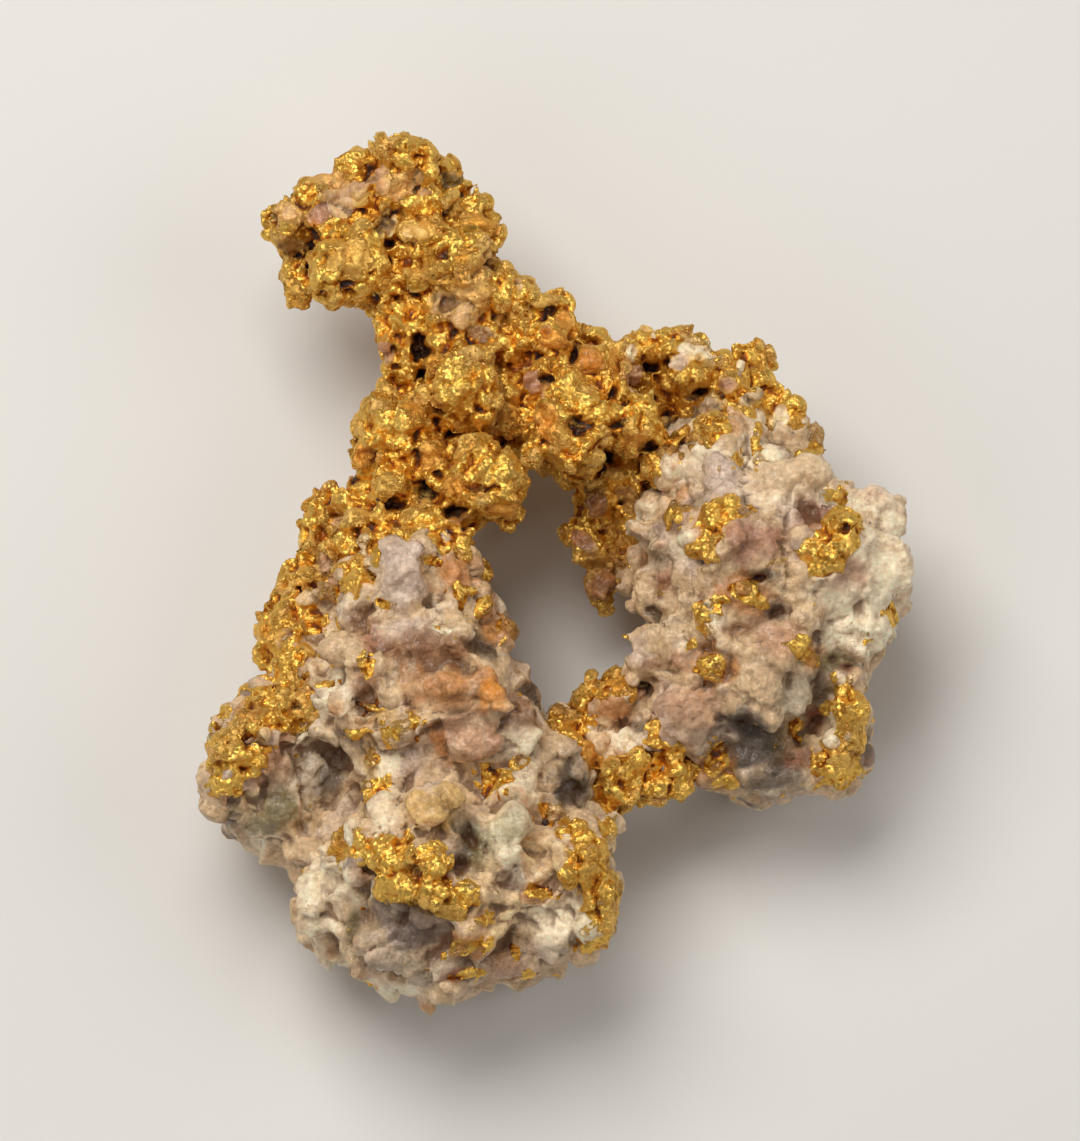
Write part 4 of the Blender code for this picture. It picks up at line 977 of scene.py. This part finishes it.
# ---- the pieces, sizes in millimetres ----
TABLES = "knobs", "pits", "films", "windows", "stains"
ARM = dict(
    slot="gold",
    gold=True,  # gold all over but for its windows. Otherwise quartz all over but for its films
    cell=0.1,  # of the remesh
    sizes=(0.26, 0.65),  # of the smallest and largest strewn knobs
    tries=3000,  # at a place for a strewn knob
    spared=0.85,  # the share of strewn knobs left out on the side that the tables cover
    drawn_in=0.26,  # how far the solid is drawn in under the knobs
    stand=0.24,  # how far knobs stand out of the solid
    rough=0.12,  # how far a knob's points are thrown in, as a share
    soften=1,  # rounds of smoothing before the relief
    crisp=1.0,  # how strongly quartz breaks into flat faces
)
MASS = ARM | dict(
    slot="quartz", gold=False, cell=0.138, sizes=(0.5, 1.3), tries=1600, drawn_in=0.19, stand=0.18,
    rough=0.11, soften=2
)
SMALL = ARM | dict(
    cell=0.082, sizes=(0.2, 0.45), tries=900, spared=0.3, drawn_in=0.14, stand=0.2, rough=0.14, soften=2
)


def plan(family, **own):
    """How a node's skin is made: its family's settings, then its own. A table it hasn't is empty."""
    return SimpleNamespace(**dict.fromkeys(TABLES, ()) | family | own)


PIECES = {
    "gold_head": plan(
        ARM, seed=1, knobs=HEAD_KNOBS, pits=HEAD_PITS, windows=HEAD_WINDOWS_AND_SHADE, stains=HEAD_STAINS
    ),
    "gold_left_arm": plan(
        ARM, seed=2, knobs=LEFT_ARM_KNOBS, pits=LEFT_ARM_PITS, windows=LEFT_ARM_WINDOWS,
        stains=LEFT_ARM_STAINS
    ),
    "gold_right_arm": plan(
        ARM, seed=3, knobs=RIGHT_ARM_KNOBS, pits=RIGHT_ARM_PITS, windows=RIGHT_ARM_WINDOWS_AND_SHADE,
        stains=RIGHT_ARM_STAINS
    ),
    "gold_hanging": plan(SMALL, seed=4, knobs=HANGING_KNOBS, windows=HANGING_WINDOWS, stains=HANGING_STAINS),
    "gold_link": plan(SMALL, seed=5, knobs=LINK_KNOBS, pits=LINK_PITS, stains=LINK_STAINS),
    "quartz_left": plan(
        MASS, seed=6, knobs=LEFT_KNOBS, pits=LEFT_PITS, films=LEFT_FILMS, stains=LEFT_STAINS_AND_SHADE
    ),
    "quartz_right": plan(
        MASS, seed=7, knobs=RIGHT_KNOBS, pits=RIGHT_PITS, films=RIGHT_FILMS, stains=RIGHT_STAINS_AND_SHADE,
        sizes=(0.35, 1.0), tries=2200, spared=0.6, crisp=0.6
    ),
    "quartz_link": plan(
        SMALL, seed=8, knobs=LINK_QUARTZ_KNOBS, films=LINK_QUARTZ_FILMS, stains=LINK_QUARTZ_STAINS_AND_SHADE,
        slot="amber_quartz", gold=False
    ),
    "gold_vein_left": plan(SMALL, seed=20, windows=VEIN_WINDOWS),
}
UNMARKED = "gold_seam_low", "gold_stripe_low", "gold_knob_right", "gold_rim_right", "gold_bar_right"
PIECES |= {node: plan(SMALL, seed=seed) for seed, node in enumerate(UNMARKED, start=21)}


def dress(node, piece, solids, material):
    """Replaces the node with its skin."""
    points, faces = solids[node]
    ground = Ground(points, faces)
    others = Ground(*joined([solid for name, solid in solids.items() if name != node]))
    regions = {table: [Region(ground, *row) for row in getattr(piece, table)] for table in TABLES}
    seen = SimpleNamespace(**regions)
    thing = fused(node + "_skin", piece, points, faces, seen.knobs + seen.films, others)
    sculpt(thing, piece, seen)
    thing.data.materials.clear()
    thing.data.materials.append(material)
    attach(thing, "root")
    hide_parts(node)


# ---- the studio ----
FLOOR_SIZE = 1.5  # metres
ROOM_COLOUR, ROOM_STRENGTH = (1.0, 0.98, 0.95, 1), 0.16
LIGHTS = (  # name, place and size in millimetres, watts, colour
    ("key", (-65, 90, 225), 170, 0.51, (1.0, 0.95, 0.87)),
    ("fill", (-120, -120, 160), 140, 0.06, (1.0, 0.97, 0.93)),
    ("side", (170, -10, 150), 150, 0.10, (1.0, 0.96, 0.9)),
)


def area_light(name, where, size, watts, colour):
    """A soft light at this place in millimetres, aimed at the nugget."""
    data = bpy.data.lights.new(name, "AREA")
    data.size, data.energy, data.color = size * MM, watts, colour
    light = bpy.data.objects.new(name, data)
    light.location = Vector(where) * MM
    light.rotation_euler = (Vector(where) - LOOK_AT).to_track_quat("Z", "Y").to_euler()
    bpy.context.collection.objects.link(light)


def floor():
    bm = bmesh.new()
    bmesh.ops.create_grid(bm, x_segments=1, y_segments=1, size=FLOOR_SIZE)
    mesh = bpy.data.meshes.new("floor")
    bm.to_mesh(mesh)
    bm.free()
    mesh.materials.append(floor_material())
    card = bpy.data.objects.new("floor", mesh)
    bpy.context.collection.objects.link(card)


def room_light():
    """Even pale light from all round."""
    world = bpy.data.worlds.new("studio")
    world.use_nodes = True
    background = world.node_tree.nodes["Background"]
    background.inputs["Color"].default_value = ROOM_COLOUR
    background.inputs["Strength"].default_value = ROOM_STRENGTH
    bpy.context.scene.world = world


def photo_camera():
    """The camera at the photograph's angle, with the whole of its frame in view."""
    data = bpy.data.cameras.new("camera")
    data.lens, data.sensor_width = LENS, SENSOR
    data.clip_start, data.clip_end = CLIP_START, CLIP_END
    camera = bpy.data.objects.new("camera", data)
    camera.location = EYE * MM
    camera.rotation_euler = TOWARDS.to_track_quat("Z", "Y").to_euler()
    bpy.context.collection.objects.link(camera)
    bpy.context.scene.camera = camera


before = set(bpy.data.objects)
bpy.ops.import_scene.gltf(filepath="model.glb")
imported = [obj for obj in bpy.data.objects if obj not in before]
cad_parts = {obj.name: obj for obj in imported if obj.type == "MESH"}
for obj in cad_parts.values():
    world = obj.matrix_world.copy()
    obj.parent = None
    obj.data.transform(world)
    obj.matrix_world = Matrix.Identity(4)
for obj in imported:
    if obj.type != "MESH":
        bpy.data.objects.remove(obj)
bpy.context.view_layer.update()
floor()
for light in LIGHTS:
    area_light(*light)
room_light()
photo_camera()
bpy.context.scene.view_settings.view_transform = "Standard"
rock_material = rock()
solids = {node: solid_of(node) for node in PIECES}
for node, piece in PIECES.items():
    dress(node, piece, solids, rock_material)
